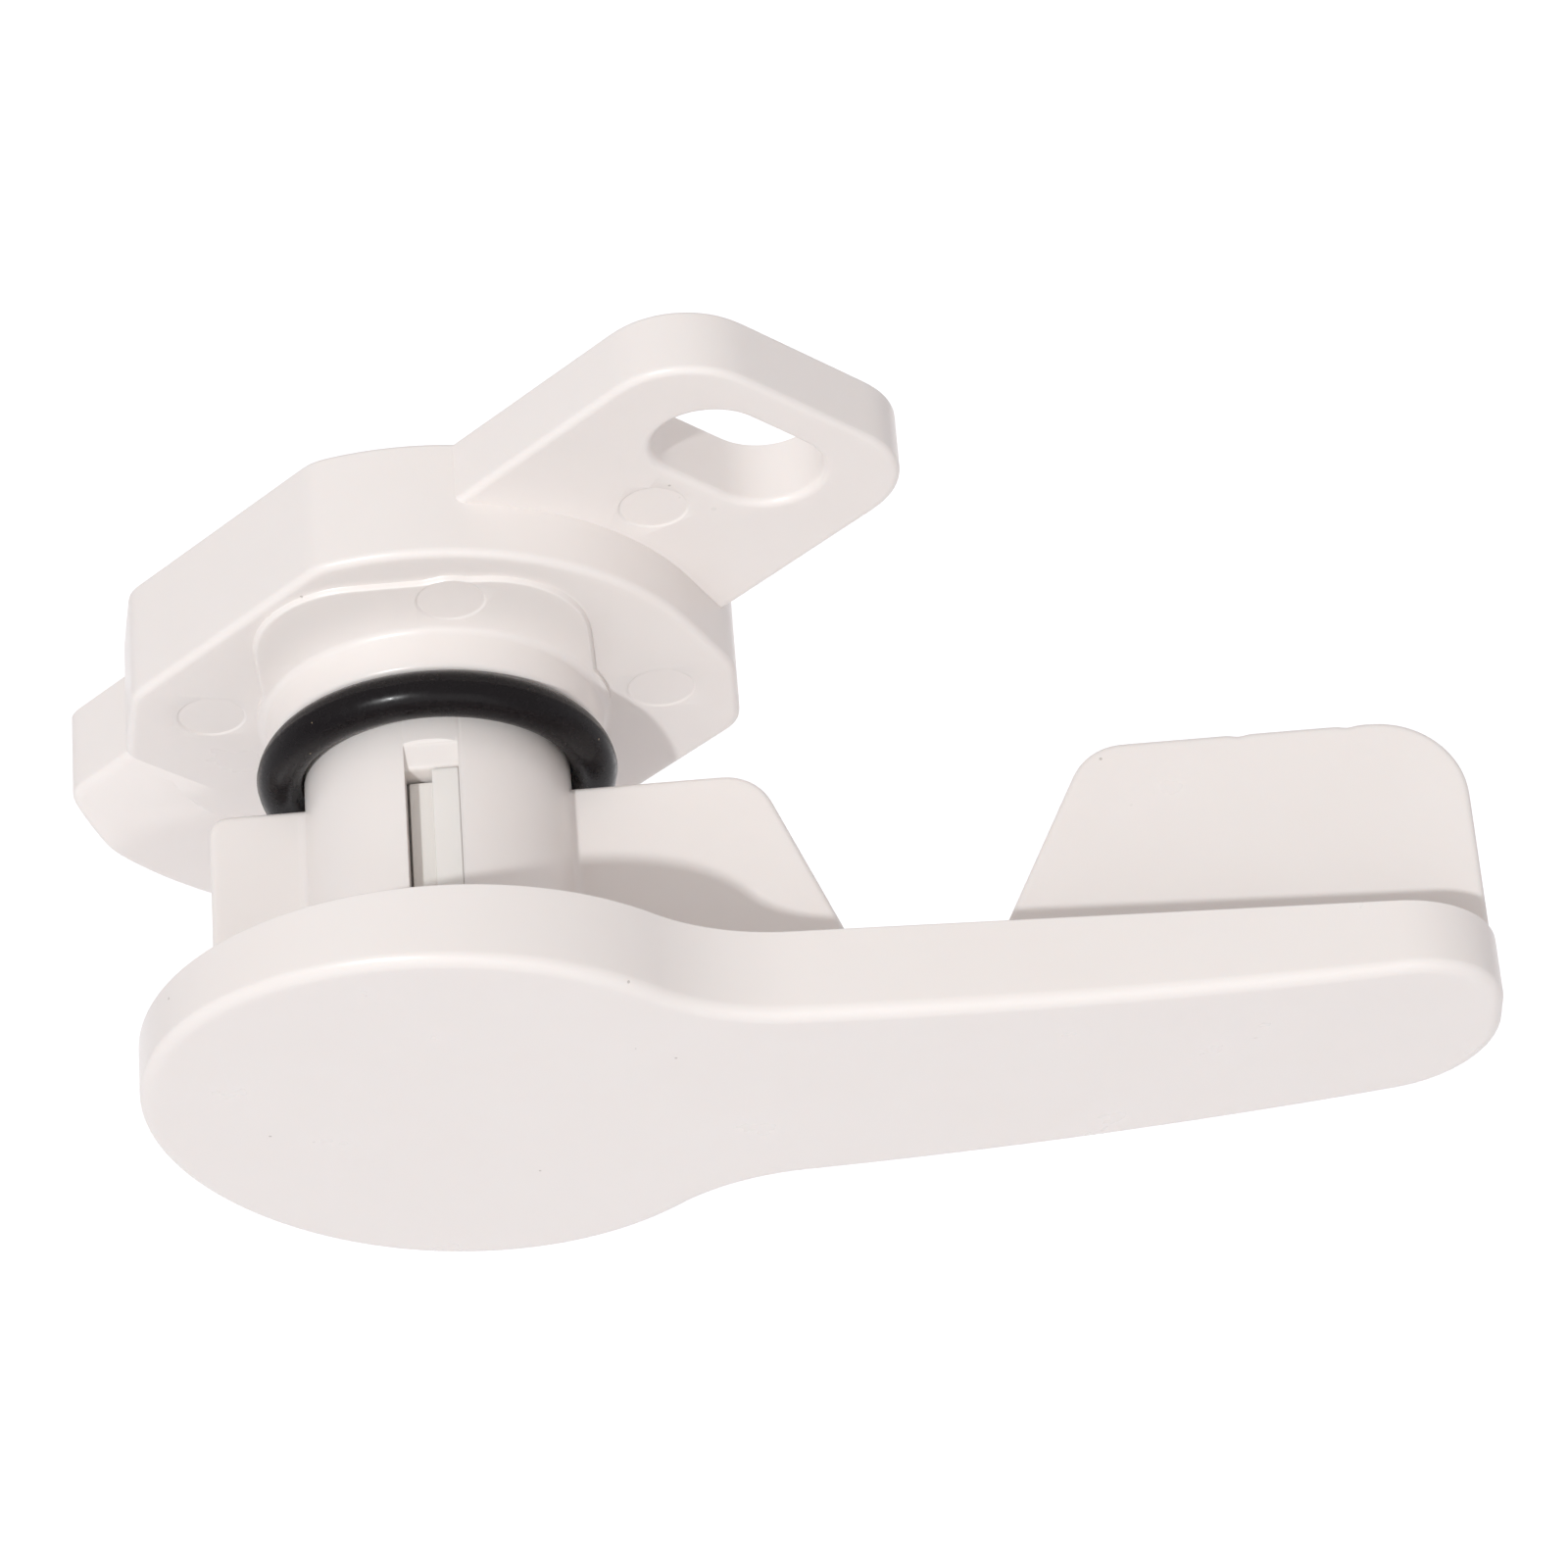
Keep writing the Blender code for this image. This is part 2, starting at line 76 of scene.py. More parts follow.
def softened_loop(parts, softness, step=LINE_STEP):
    """One closed line through the parts, in equal steps, with softened corners.

    The line's length is divided into n equal steps. Each point then becomes the mean of its neighbours
    within half the softness on both sides, twice over, so a corner turns into a curve about that wide.
    """
    points = np.vstack(parts)
    closed = np.vstack((points, points[:1]))
    travel = np.concatenate(([0.0], np.cumsum(np.linalg.norm(np.diff(closed, axis=0), axis=1))))
    count = 2 * round(travel[-1] / step / 2)
    places = np.arange(count) * travel[-1] / count
    line = np.column_stack([np.interp(places, travel, column) for column in closed.T])
    reach = round(softness / step / 2)
    for _ in range(2):
        line = sum(np.roll(line, shift, axis=0) for shift in range(-reach, reach + 1)) / (2 * reach + 1)
    return line


test_square = softened_loop([np.array([(0, 0), (10, 0), (10, 10), (0, 10)])], 1.0)
print("a softened 10 mm square has", len(test_square), "points and reaches",
      test_square.max().round(2), "mm")

# %% [markdown]
# ## True corners and the way inwards
# Softening suits corners whose radius doesn't matter. Where it does, as on the webs, the corner is drawn
# as an arc that touches both sides. The line's normals point into the material, and every rounded edge
# is later made by moving along them.

# %% Rounded corners and inward normals
def rounded_corners(points, radii, count=16):
    """A polygon whose corners are arcs of the given radii, each tangent to both its sides.

    With u and v pointing along the sides and h half the angle between them, the arc's centre is
    p + r / sin h along u + v, and it touches the sides at r / tan h from p.
    """
    points = np.array(points, float)
    parts = []
    for before, here, after, radius in zip(np.roll(points, 1, 0), points, np.roll(points, -1, 0), radii):
        u = (before - here) / np.linalg.norm(before - here)
        v = (after - here) / np.linalg.norm(after - here)
        half = math.acos(u @ v) / 2.0
        centre = here + (u + v) / np.linalg.norm(u + v) * radius / math.sin(half)
        first = here + u * radius / math.tan(half) - centre
        last = here + v * radius / math.tan(half) - centre
        start = math.degrees(math.atan2(first[1], first[0]))
        sweep = math.degrees(math.atan2(last[1], last[0])) - start
        sweep = (sweep + 180.0) % 360.0 - 180.0
        parts.append(arc(centre, radius, start, start + sweep, count))
    return parts


def inward(line):
    """Unit normals to the inside of a closed line: its direction turned a quarter turn."""
    along = np.roll(line, -1, axis=0) - np.roll(line, 1, axis=0)
    along /= np.linalg.norm(along, axis=1, keepdims=True)
    after = np.roll(line, -1, axis=0)
    side = np.sign(np.sum(line[:, 0] * after[:, 1] - line[:, 1] * after[:, 0]))
    return np.column_stack((-along[:, 1], along[:, 0])) * side


to_middle = 5.0 - test_square
print("normals point inwards:", bool(np.all(np.sum(inward(test_square) * to_middle, axis=1) > 0.0)))

# %% [markdown]
# ## From lines to closed surfaces
# A slab's side is the line repeated at several heights. Moving each copy inwards a little near the faces
# draws the rounded edge as part of the surface, which is steadier than a Bevel modifier on a mesh that
# has been cut. The faces close by drawing the last copy towards its middle. A round piece is a profile
# carried round the spindle. Both are grids of points, so one function turns either into a mesh.

# %% A skin from a grid
WELD = 1e-6


def skin(name, grid, ring=False):
    """A mesh from a grid of (x, z, out) points in millimetres; each square of neighbours is a face.

    Columns always close, and rows close on a ring. Points that fall together are merged into poles and
    seams, and the faces are then turned outwards.
    """
    rows, columns, _ = grid.shape
    x, z, out = grid.reshape(-1, 3).T * MM
    index = np.arange(rows * columns).reshape(rows, columns)
    if ring:
        index = np.vstack((index, index[:1]))
    index = np.hstack((index, index[:, :1]))
    corners = (index[:-1, :-1], index[:-1, 1:], index[1:, 1:], index[1:, :-1])
    faces = np.stack(corners, axis=-1).reshape(-1, 4)
    mesh = bpy.data.meshes.new(name)
    mesh.from_pydata(np.column_stack((x, -out, z)).tolist(), [], faces.tolist())
    welded = bmesh.new()
    welded.from_mesh(mesh)
    bmesh.ops.remove_doubles(welded, verts=welded.verts, dist=WELD)
    bmesh.ops.recalc_face_normals(welded, faces=welded.faces)
    welded.to_mesh(mesh)
    welded.free()
    piece = bpy.data.objects.new(name, mesh)
    bpy.context.scene.collection.objects.link(piece)
    return piece


print("points closer than", round(WELD / MM, 4), "mm become one")

# %% [markdown]
# ## Slabs and turned pieces
# A slab can lie flat, stand on edge or run along the lever, so its axes are picked from a short table. Its
# faces are rings drawn to their middle in a few shares, closest together near the rim, where a lift bends
# the face most.

# %% Slabs and turned pieces
CAP_SHARES = np.array([0.0, 0.4, 0.75, 0.93, 0.985])
AXES = {"out": [0, 1, 2], "up": [0, 2, 1], "along": [2, 0, 1]}


def rounded_side(near, far, near_round, far_round, steps=6):
    """(inset, height) up a slab's side: a quarter circle, a straight wall and a quarter circle."""
    angle = np.linspace(0.0, math.pi / 2.0, steps + 1)
    low = np.column_stack((near_round * (1 - np.sin(angle)), near + near_round * (1 - np.cos(angle))))
    high = np.column_stack((far_round * (1 - np.cos(angle)), far - far_round * (1 - np.sin(angle))))
    return np.vstack((low, high))


def slab(name, line, side, middle, lift=None, direction="out"):
    """A closed slab: ring k is line + inset_k * normal at height_k.

    The faces are the first and last ring drawn to the middle, middle + share (ring - middle). lift(a, b)
    is added to the height, in full on the last face and not at all on the first.
    """
    share = np.concatenate((CAP_SHARES, np.ones(len(side)), CAP_SHARES[::-1]))
    ends = len(CAP_SHARES)
    inset = np.pad(side[:, 0], ends, mode="edge")
    height = np.pad(side[:, 1], ends, mode="edge")
    edge = line + inward(line) * inset[:, None, None]
    line_steps, edge_steps = (np.roll(points, -1, axis=-2) - points for points in (line, edge))
    if np.any(np.sum(line_steps * edge_steps, axis=2) < 0.0):
        raise ValueError(f"{name}: a corner of its line is sharper than its rounded edge")
    place = middle + (edge - middle) * share[:, None, None]
    level = np.repeat(height[:, None], len(line), axis=1)
    if lift:
        rise = (level - height[0]) / (height[-1] - height[0])
        level = level + rise * lift(place[..., 0], place[..., 1])
    grid = np.dstack((place, level[..., None]))
    return skin(name, grid[..., AXES[direction]])


def turned(name, profile, ring=False, steps=192, change=None):
    """A profile of (radius, out) carried round the spindle: (r cos a, r sin a, out).

    change(radius, out, angle) may alter both, for a wavy or grooved piece.
    """
    angle = np.linspace(0.0, 2.0 * math.pi, steps, endpoint=False)[None, :]
    radius, out = (np.repeat(column[:, None], steps, axis=1) for column in np.asarray(profile, float).T)
    if change:
        radius, out = change(radius, out, angle)
    return skin(name, np.dstack((radius * np.cos(angle), radius * np.sin(angle), out)), ring)


print("slab directions:", ", ".join(AXES))

# %% [markdown]
# ## Joining, cutting and shading
# The closed surfaces are joined and cut with exact Booleans. A Weighted Normal modifier then lets the
# large flat faces decide the shading, so a face stays flat right up to its rounded edge.

# %% Boolean and shading helpers
SHARP_ANGLE = 34.0


def combine(piece, tools, operation):
    """Joins the tools to the piece or cuts it with them, and keeps only the resulting mesh."""
    for tool in tools:
        modifier = piece.modifiers.new(tool.name, "BOOLEAN")
        modifier.operation = operation
        modifier.solver = "EXACT"
        modifier.object = tool
    evaluated = piece.evaluated_get(bpy.context.evaluated_depsgraph_get())
    result = bpy.data.meshes.new_from_object(evaluated)
    piece.modifiers.clear()
    piece.data = result
    for tool in tools:
        bpy.data.objects.remove(tool, do_unlink=True)
    return piece


def finish_surface(piece):
    """Smooth shading with true creases, led by the large faces."""
    piece.data.shade_smooth()
    piece.data.set_sharp_from_angle(angle=math.radians(SHARP_ANGLE))
    normals = piece.modifiers.new("flat_faces_lead", "WEIGHTED_NORMAL")
    normals.keep_sharp = True
    print(piece.name, "has", len(piece.data.polygons), "faces")
    return piece


# %% [markdown]
# ## Colours and nodes
# Colours are written as sRGB hex, as a paint chart gives them, and Blender's shaders want them linear.
# A pattern's size is given in millimetres, and Object coordinates are in metres, so a texture that should
# repeat every s millimetres has a scale of 1000 / s.

# %% Colour and node helpers
# A Mix node keeps its colour sockets at these places, after those for numbers and vectors.
MIX_A = 6
MIX_B = 7
MIX_RESULT = 2


def linear(hex_colour):
    """sRGB hex to linear: c / 12.92 when dark, else ((c + 0.055) / 1.055) ** 2.4."""
    channels = [int(hex_colour[place:place + 2], 16) / 255.0 for place in (1, 3, 5)]
    values = [c / 12.92 if c <= 0.04045 else ((c + 0.055) / 1.055) ** 2.4 for c in channels]
    return (*values, 1.0)


def per_mm(size):
    return 1.0 / (size * MM)


def add(material, kind, links=None, settings=None, values=None):
    """Adds one node: settings are its properties, values its sockets, and links join sockets to outputs."""
    node = material.node_tree.nodes.new(kind)
    for name, setting in (settings or {}).items():
        setattr(node, name, setting)
    for socket, value in (values or {}).items():
        node.inputs[socket].default_value = value
    for socket, output in (links or {}).items():
        material.node_tree.links.new(output, node.inputs[socket])
    return node


def new_material(name, **sockets):
    """A material whose Principled BSDF has the given constant sockets, and its Object coordinates."""
    material = bpy.data.materials.new(name)
    material.use_nodes = True
    shader = material.node_tree.nodes["Principled BSDF"]
    for socket, value in sockets.items():
        shader.inputs[socket.replace("_", " ")].default_value = value
    place = add(material, "ShaderNodeTexCoord").outputs["Object"]
    return material, shader, place


def connect(material, output, socket):
    material.node_tree.links.new(output, socket)


print("linear value of mid grey:", round(linear("#808080")[0], 3))

# %% [markdown]
# ## Injection-moulded ABS, warm off-white
# ABS filled with white pigment is a satin, slightly creamy plastic. The mould was fine-polished, so the
# eye gets a soft glow at the edges, a broad highlight, and hardly any texture. What gives it away as real
# is small: faint flow mottling, an orange-peel ripple, hairline scratches that only dull the gloss, and a
# few specks of burnt plastic and dust. The specks could be painted, but a cell pattern scatters them
# evenly over any shape, and the rubber's dust can use it too.

# %% Specks
SPECK_CELL = 2.2
SPECK_SIZE = 0.045


def specks(material, place, cell, size, channel, share):
    """1 in a round speck and 0 elsewhere.

    Each cell, that many millimetres wide, may hold one speck with a radius of size * cell. Only the
    share of cells whose random colour is low in the channel has one.
    """
    cells = add(material, "ShaderNodeTexVoronoi", {"Vector": place}, values={"Scale": per_mm(cell)})
    near = add(material, "ShaderNodeMath", {0: cells.outputs["Distance"]},
               {"operation": "LESS_THAN"}, {1: size})
    tint = add(material, "ShaderNodeSeparateColor", {"Color": cells.outputs["Color"]})
    chosen = add(material, "ShaderNodeMath", {0: tint.outputs[channel]},
                 {"operation": "LESS_THAN"}, {1: share})
    both = add(material, "ShaderNodeMath", {0: near.outputs[0], 1: chosen.outputs[0]},
               {"operation": "MULTIPLY"})
    return both.outputs[0]


print("a speck is", round(2.0 * SPECK_SIZE * SPECK_CELL, 2), "mm across")

# %% The moulded plastic
PATCH = 7.0
SPECK_STRENGTH = 0.4
SCRATCH = 9.0
SCRATCH_STRETCH = 45.0
PEEL = 1.6


def moulded_plastic(name, light, dark, roughness, speck_share):
    material, shader, place = new_material(
        name, IOR=1.53, Subsurface_Weight=0.12, Subsurface_Scale=1.2 * MM)
    shader.inputs["Subsurface Radius"].default_value = (1.0, 0.75, 0.6)

    # Flow mottling: patches about 7 mm across, two near shades apart.
    patches = add(material, "ShaderNodeTexNoise", {"Vector": place}, values={
        "Scale": per_mm(PATCH), "Detail": 4.0, "Roughness": 0.6})
    shade = add(material, "ShaderNodeMix", {0: patches.outputs["Fac"]}, {"data_type": "RGBA"},
                {MIX_A: linear(light), MIX_B: linear(dark)})

    # Specks of burnt plastic, 0.2 mm across, let the plastic's own colour through.
    speck = specks(material, place, SPECK_CELL, SPECK_SIZE, "Red", speck_share)
    faint = add(material, "ShaderNodeMath", {0: speck}, {"operation": "MULTIPLY"}, {1: SPECK_STRENGTH})
    colour = add(material, "ShaderNodeMix", {0: faint.outputs[0], MIX_A: shade.outputs[MIX_RESULT]},
                 {"data_type": "RGBA"}, {MIX_B: linear("#7A6E66")})
    connect(material, colour.outputs[MIX_RESULT], shader.inputs["Base Color"])

    # Handling scratches: noise stretched 45 to 1, of which only the thin crests count, as rougher lines.
    skewed = add(material, "ShaderNodeMapping", {"Vector": place}, values={
        "Rotation": (0.5, 0.3, 0.9), "Scale": (1.0, SCRATCH_STRETCH, SCRATCH_STRETCH)})
    streaks = add(material, "ShaderNodeTexNoise", {"Vector": skewed.outputs["Vector"]}, values={
        "Scale": per_mm(SCRATCH), "Detail": 2.0})
    scratch = add(material, "ShaderNodeMapRange", {"Value": streaks.outputs["Fac"]}, values={
        "From Min": 0.7, "From Max": 0.85, "To Min": 0.0, "To Max": 1.0})

    # Orange peel: a ripple about 1.6 mm long, a micrometre or so high.
    peel = add(material, "ShaderNodeTexNoise", {"Vector": place}, values={
        "Scale": per_mm(PEEL), "Detail": 1.0})
    gloss = add(material, "ShaderNodeMapRange", {"Value": patches.outputs["Fac"]}, values={
        "From Min": 0.3, "From Max": 0.7, "To Min": roughness - 0.02, "To Max": roughness + 0.03})
    worn = add(material, "ShaderNodeMath", {0: scratch.outputs["Result"], 2: gloss.outputs["Result"]},
               {"operation": "MULTIPLY_ADD"}, {1: 0.08})
    connect(material, worn.outputs[0], shader.inputs["Roughness"])
    bump = add(material, "ShaderNodeBump", {"Height": peel.outputs["Fac"]}, values={
        "Strength": 0.2, "Distance": 0.006 * MM})
    connect(material, bump.outputs["Normal"], shader.inputs["Normal"])
    return material


white_abs = moulded_plastic("injection_moulded_white_abs", "#F3EEEB", "#F0EAE6", 0.29, 0.05)
natural_acetal = moulded_plastic("injection_moulded_natural_acetal", "#F1EEEA", "#ECE8E3", 0.32, 0.02)
print("plastics:", white_abs.name, natural_acetal.name)

# %% [markdown]
# ## Greased nitrile rubber and rolled spring steel
# Nitrile is filled with carbon black. It looks almost black with a brownish sheen where it is greased, and
# it collects pale dust. The washer is stamped from bright rolled strip, with fine lines along the rolling.

# %% The rubber and the steel
GREASE_GRAIN = 0.5
DUST_CELL = 0.8
DUST_SIZE = 0.08
DUST_SHARE = 0.12
ROLLING_LINES = 4.0
ROLLING_STRETCH = 25.0


def nitrile():
    material, shader, place = new_material("moulded_nitrile_rubber", IOR=1.52, Specular_IOR_Level=0.2)
    grain = add(material, "ShaderNodeTexNoise", {"Vector": place}, values={
        "Scale": per_mm(GREASE_GRAIN), "Detail": 3.0})
    dust = specks(material, place, DUST_CELL, DUST_SIZE, "Green", DUST_SHARE)
    colour = add(material, "ShaderNodeMix", {0: dust}, {"data_type": "RGBA"},
                 {MIX_A: linear("#151214"), MIX_B: linear("#8A7C68")})
    connect(material, colour.outputs[MIX_RESULT], shader.inputs["Base Color"])
    grease = add(material, "ShaderNodeMapRange", {"Value": grain.outputs["Fac"]}, values={
        "From Min": 0.3, "From Max": 0.7, "To Min": 0.2, "To Max": 0.32})
    connect(material, grease.outputs["Result"], shader.inputs["Roughness"])
    bump = add(material, "ShaderNodeBump", {"Height": grain.outputs["Fac"]}, values={
        "Strength": 0.3, "Distance": 0.01 * MM})
    connect(material, bump.outputs["Normal"], shader.inputs["Normal"])
    return material


def rolled_steel():
    material, shader, place = new_material("rolled_spring_steel", Metallic=1.0)
    shader.inputs["Base Color"].default_value = linear("#C4C4C6")
    rolled = add(material, "ShaderNodeMapping", {"Vector": place}, values={
        "Scale": (1.0, ROLLING_STRETCH, ROLLING_STRETCH)})
    lines = add(material, "ShaderNodeTexNoise", {"Vector": rolled.outputs["Vector"]}, values={
        "Scale": per_mm(ROLLING_LINES), "Detail": 3.0})
    shine = add(material, "ShaderNodeMapRange", {"Value": lines.outputs["Fac"]}, values={
        "From Min": 0.3, "From Max": 0.7, "To Min": 0.22, "To Max": 0.4})
    connect(material, shine.outputs["Result"], shader.inputs["Roughness"])
    return material


black_nitrile = nitrile()
spring_steel = rolled_steel()
print("others:", black_nitrile.name, spring_steel.name)

# %% [markdown]
# ## The bearing body
# One moulding does four jobs: a thick block carries the stem, a thin slotted ear takes the screw, a nose
# opposite the ear hooks under an edge, and a collar holds the rubber ring. It could be extruded from one
# outline, but the ear, the pad and the collar each have their own height, so each is a slab or a turned
# piece of its own, and the union leaves the creases where the mould has them. Ear and nose start a hair
# above the block's back, because two faces in one plane would confuse a Boolean.

# %% The block, the ear and the pad
# All sizes of shapes are in millimetres, and a place in the plane is (x, z).
EAR_ANGLE = 45.0
EAR_HALF_WIDTH = 10.25
BLOCK_THICKNESS = 7.75
EAR_THICKNESS = 4.2
BLOCK_RADIUS = 17.7
BLOCK_FLAT = 15.8
BLOCK_RIGHT = 18.4
BLOCK_RIGHT_TOP = 2.5
BLOCK_RIGHT_CORNER = 1.8
BLOCK_LEFT_TOP_X = -17.8
BLOCK_LEFT_CORNER = (-19.0, -2.1)
PAD_HEIGHT = 0.32
PAD_PIN = (2.1, 13.0)
PAD_PIN_REACH = 2.3
CENTRE = np.zeros(2)


def block_line():
    """An arc about the spindle, cut by two flats, with a straight side left and right."""
    chord = math.degrees(math.acos(BLOCK_FLAT / BLOCK_RADIUS))
    reach = math.hypot(BLOCK_RIGHT, BLOCK_RIGHT_TOP)
    start = math.degrees(math.atan2(BLOCK_RIGHT_TOP, BLOCK_RIGHT) + math.acos(BLOCK_RADIUS / reach))
    diagonal = BLOCK_FLAT * math.sqrt(2.0)
    corner_x = BLOCK_RIGHT - BLOCK_RIGHT_CORNER
    corner = (corner_x, corner_x - diagonal + BLOCK_RIGHT_CORNER * math.sqrt(2.0))
    return softened_loop([
        arc((0, 0), BLOCK_RADIUS, start, 90.0 + EAR_ANGLE - chord),
        [(BLOCK_LEFT_TOP_X, diagonal + BLOCK_LEFT_TOP_X), BLOCK_LEFT_CORNER],
        arc((0, 0), BLOCK_RADIUS, 200.0, 270.0 + EAR_ANGLE - chord),
        arc(corner, BLOCK_RIGHT_CORNER, -EAR_ANGLE, 0.0, 12),
        [(BLOCK_RIGHT, BLOCK_RIGHT_TOP)],
    ], 0.9)


def ear_line(reach=33.8, radius=5.2):
    """A bar from the spindle with two rounded far corners, turned to the ear's angle."""
    side = EAR_HALF_WIDTH - radius
    return turn(softened_loop([
        [(0, EAR_HALF_WIDTH), (0, -EAR_HALF_WIDTH)],
        arc((reach - radius, -side), radius, -90, 0, 16),
        arc((reach - radius, side), radius, 0, 90, 16),
    ], 1.2), EAR_ANGLE)


def pad_line(half_width=10.1, top=15.0, radius=6.5, foot_radius=4.0):
    """A bar upwards from the spindle with two large rounded corners; its foot ends under the collar.

    Points nearer to the pin mark than its reach are pushed straight away from it, so the edge bulges.
    """
    side = half_width - radius
    foot = half_width - foot_radius
    line = softened_loop([
        arc((-foot, 1.0), foot_radius, 180, 270, 12),
        arc((foot, 1.0), foot_radius, 270, 360, 12),
        arc((side, top - radius), radius, 0, 90, 16),
        arc((-side, top - radius), radius, 90, 180, 16),
    ], 0.9)
    away = line - PAD_PIN
    distance = np.linalg.norm(away, axis=1, keepdims=True)
    bulged = np.where(distance < PAD_PIN_REACH, PAD_PIN + away * PAD_PIN_REACH / distance, line)
    return softened_loop([bulged], 0.5)


def soft_step(low, high, width, steps=8):
    """(inset, height) of a gentle step: half a cosine wave from low to high over the width."""
    t = np.linspace(0.0, 1.0, steps + 1)
    return np.column_stack((width * t, low + (high - low) * (0.5 - 0.5 * np.cos(math.pi * t))))


block = slab("bearing_body_moulding", block_line(), rounded_side(0.0, BLOCK_THICKNESS, 0.25, 0.5), CENTRE)
ear_side = rounded_side(0.02, EAR_THICKNESS, 0.25, 0.45)
ear = slab("ear", ear_line(), ear_side, turn([(15.0, 0.0)], EAR_ANGLE))
pad_top = BLOCK_THICKNESS + PAD_HEIGHT
pad_side = np.vstack(([(0.0, 4.0)], soft_step(BLOCK_THICKNESS - 0.05, pad_top, 0.24)))
pad = slab("pad", pad_line(), pad_side, np.array([0.0, 7.0]))
for piece in (block, ear, pad):
    print(piece.name, "has", len(piece.data.vertices), "points")

# %% [markdown]
# ## The hook-in nose
# The nose ends in an arc about the spindle, and one side of it slopes down so that it can be slid under an
# edge at an angle. The slope is a lift on the slab's outer face, softened along its crest, and the same
# lift shapes the tool that clears the block's corner above it.

# %% The nose and its bevel
NOSE_REACH = 25.1
BEVEL_START = -14.6
BEVEL_CREST = 6.0
BEVEL_SLOPE = 0.435
CREST_SOFTNESS = 0.35


def bevel_drop(x, z):
    """How far the slope lies below the face, d past its crest: slope * w * log(1 + e^(d / w))."""
    past = (z - x) / math.sqrt(2.0) - BEVEL_CREST
    return -BEVEL_SLOPE * CREST_SOFTNESS * np.logaddexp(0.0, past / CREST_SOFTNESS)


def nose_line():
    half = math.degrees(math.asin(EAR_HALF_WIDTH / NOSE_REACH))
    return turn(softened_loop([
        [(0, -EAR_HALF_WIDTH), (0, EAR_HALF_WIDTH)],
        arc((0, 0), NOSE_REACH, 180.0 - half, 180.0 + half),
    ], 1.4), EAR_ANGLE)


nose_side = rounded_side(0.03, BLOCK_THICKNESS - 0.01, 0.25, 0.5)
nose = slab("nose", nose_line(), nose_side, turn([(-12.0, 0.0)], EAR_ANGLE), lift=bevel_drop)
clear_corners = np.array([(-30, 4.5), (BEVEL_START, 4.5), (BEVEL_START, 13), (-30, 13)])
clear_line = turn(softened_loop([clear_corners], 0.4), EAR_ANGLE)
clear_side = np.array([(0.0, BLOCK_THICKNESS + 3.0), (0.0, BLOCK_THICKNESS)])
bevel_tool = slab("bevel_tool", clear_line, clear_side, turn([(-22.0, 9.0)], EAR_ANGLE), lift=bevel_drop)
combine(block, [bevel_tool], "DIFFERENCE")
edge_drop = -float(bevel_drop(0.0, EAR_HALF_WIDTH * math.sqrt(2.0)))
print("the nose drops", round(edge_drop, 2), "mm at its edge")

# %% [markdown]
# ## Collar, bore and the marks of moulding
# The collar is turned, with a small fillet at its foot and a rounded rim that catch the light. From the
# back, a stepped bore holds the stem and the core, and a quarter-turn groove stops the core's lug. Hollows
# could be left out of the outlines, but a tool for each, as in a workshop, keeps the shapes simple.

# %% The collar and the cutting tools
STEM_BORE = 8.3
COLLAR_RADIUS = 10.15
COLLAR_END = 10.8
RECESS_RADIUS = 12.3
RECESS_DEPTH = 3.6
GROOVE_RADIUS = 14.33
GROOVE_DEPTH = 3.2
SLOT_CENTRE = 27.7
SLOT_HALF_WIDTH = 3.4
SLOT_HALF_STRAIGHT = 2.2


def collar_profile(foot=0.55, rim=0.4):
    """Up the collar's outside and in to the middle: a concave quarter circle, the wall, a convex one."""
    base = pad_top - 0.03
    return np.vstack((
        [(0.0, 4.0), (COLLAR_RADIUS + foot, 4.0)],
        arc((COLLAR_RADIUS + foot, base + foot), foot, 270.0, 180.0, 9),
        arc((COLLAR_RADIUS - rim, COLLAR_END - rim), rim, 0.0, 90.0, 9),
        [(0.0, COLLAR_END)],
    ))


def bore_profile(chamfer=0.4):
    return [
        (0.0, -1.0), (RECESS_RADIUS + chamfer, -1.0), (RECESS_RADIUS + chamfer, 0.0),
        (RECESS_RADIUS, chamfer), (RECESS_RADIUS, RECESS_DEPTH), (STEM_BORE, RECESS_DEPTH),
        (STEM_BORE, COLLAR_END - 0.3), (STEM_BORE + 0.3, COLLAR_END),
        (STEM_BORE + 0.3, COLLAR_END + 1.0), (0.0, COLLAR_END + 1.0),
    ]


def groove_line(spare=9.5, travel=90.0):
    """A sector from the spindle; all of it but the rim falls in the recess, which is deeper."""
    return softened_loop([[(0, 0)], arc((0, 0), GROOVE_RADIUS, -spare, travel + spare)], 0.5)


def slot_line():
    return turn(softened_loop([
        arc((SLOT_CENTRE, SLOT_HALF_STRAIGHT), SLOT_HALF_WIDTH, 0, 180, 40),
        arc((SLOT_CENTRE, -SLOT_HALF_STRAIGHT), SLOT_HALF_WIDTH, 180, 360, 40),
    ], 0.5), EAR_ANGLE)


def flared_side(near, far, near_flare, far_flare, steps=6):
    """A hole's side with rounded lips: r - sqrt(r^2 - (r - t)^2) wider at a depth t below a face."""
    angle = np.linspace(0.0, math.pi / 2.0, steps + 1)
    low = np.column_stack((-near_flare * (1 - np.sin(angle)), near + near_flare * (1 - np.cos(angle))))
    high = np.column_stack((-far_flare * (1 - np.cos(angle)), far - far_flare * (1 - np.sin(angle))))
    return np.vstack(([(-near_flare, near - 1.0)], low, high, [(-far_flare, far + 1.0)]))


collar = turned("collar", collar_profile())
combine(block, [ear, nose, pad, collar], "UNION")
slot_tool = slab("slot_tool", slot_line(), flared_side(0.0, EAR_THICKNESS, 0.06, 0.5),
                 turn([(SLOT_CENTRE, 0.0)], EAR_ANGLE))
bore_tool = turned("bore_tool", bore_profile())
print("the collar stands", round(COLLAR_END - pad_top, 2), "mm above the pad")

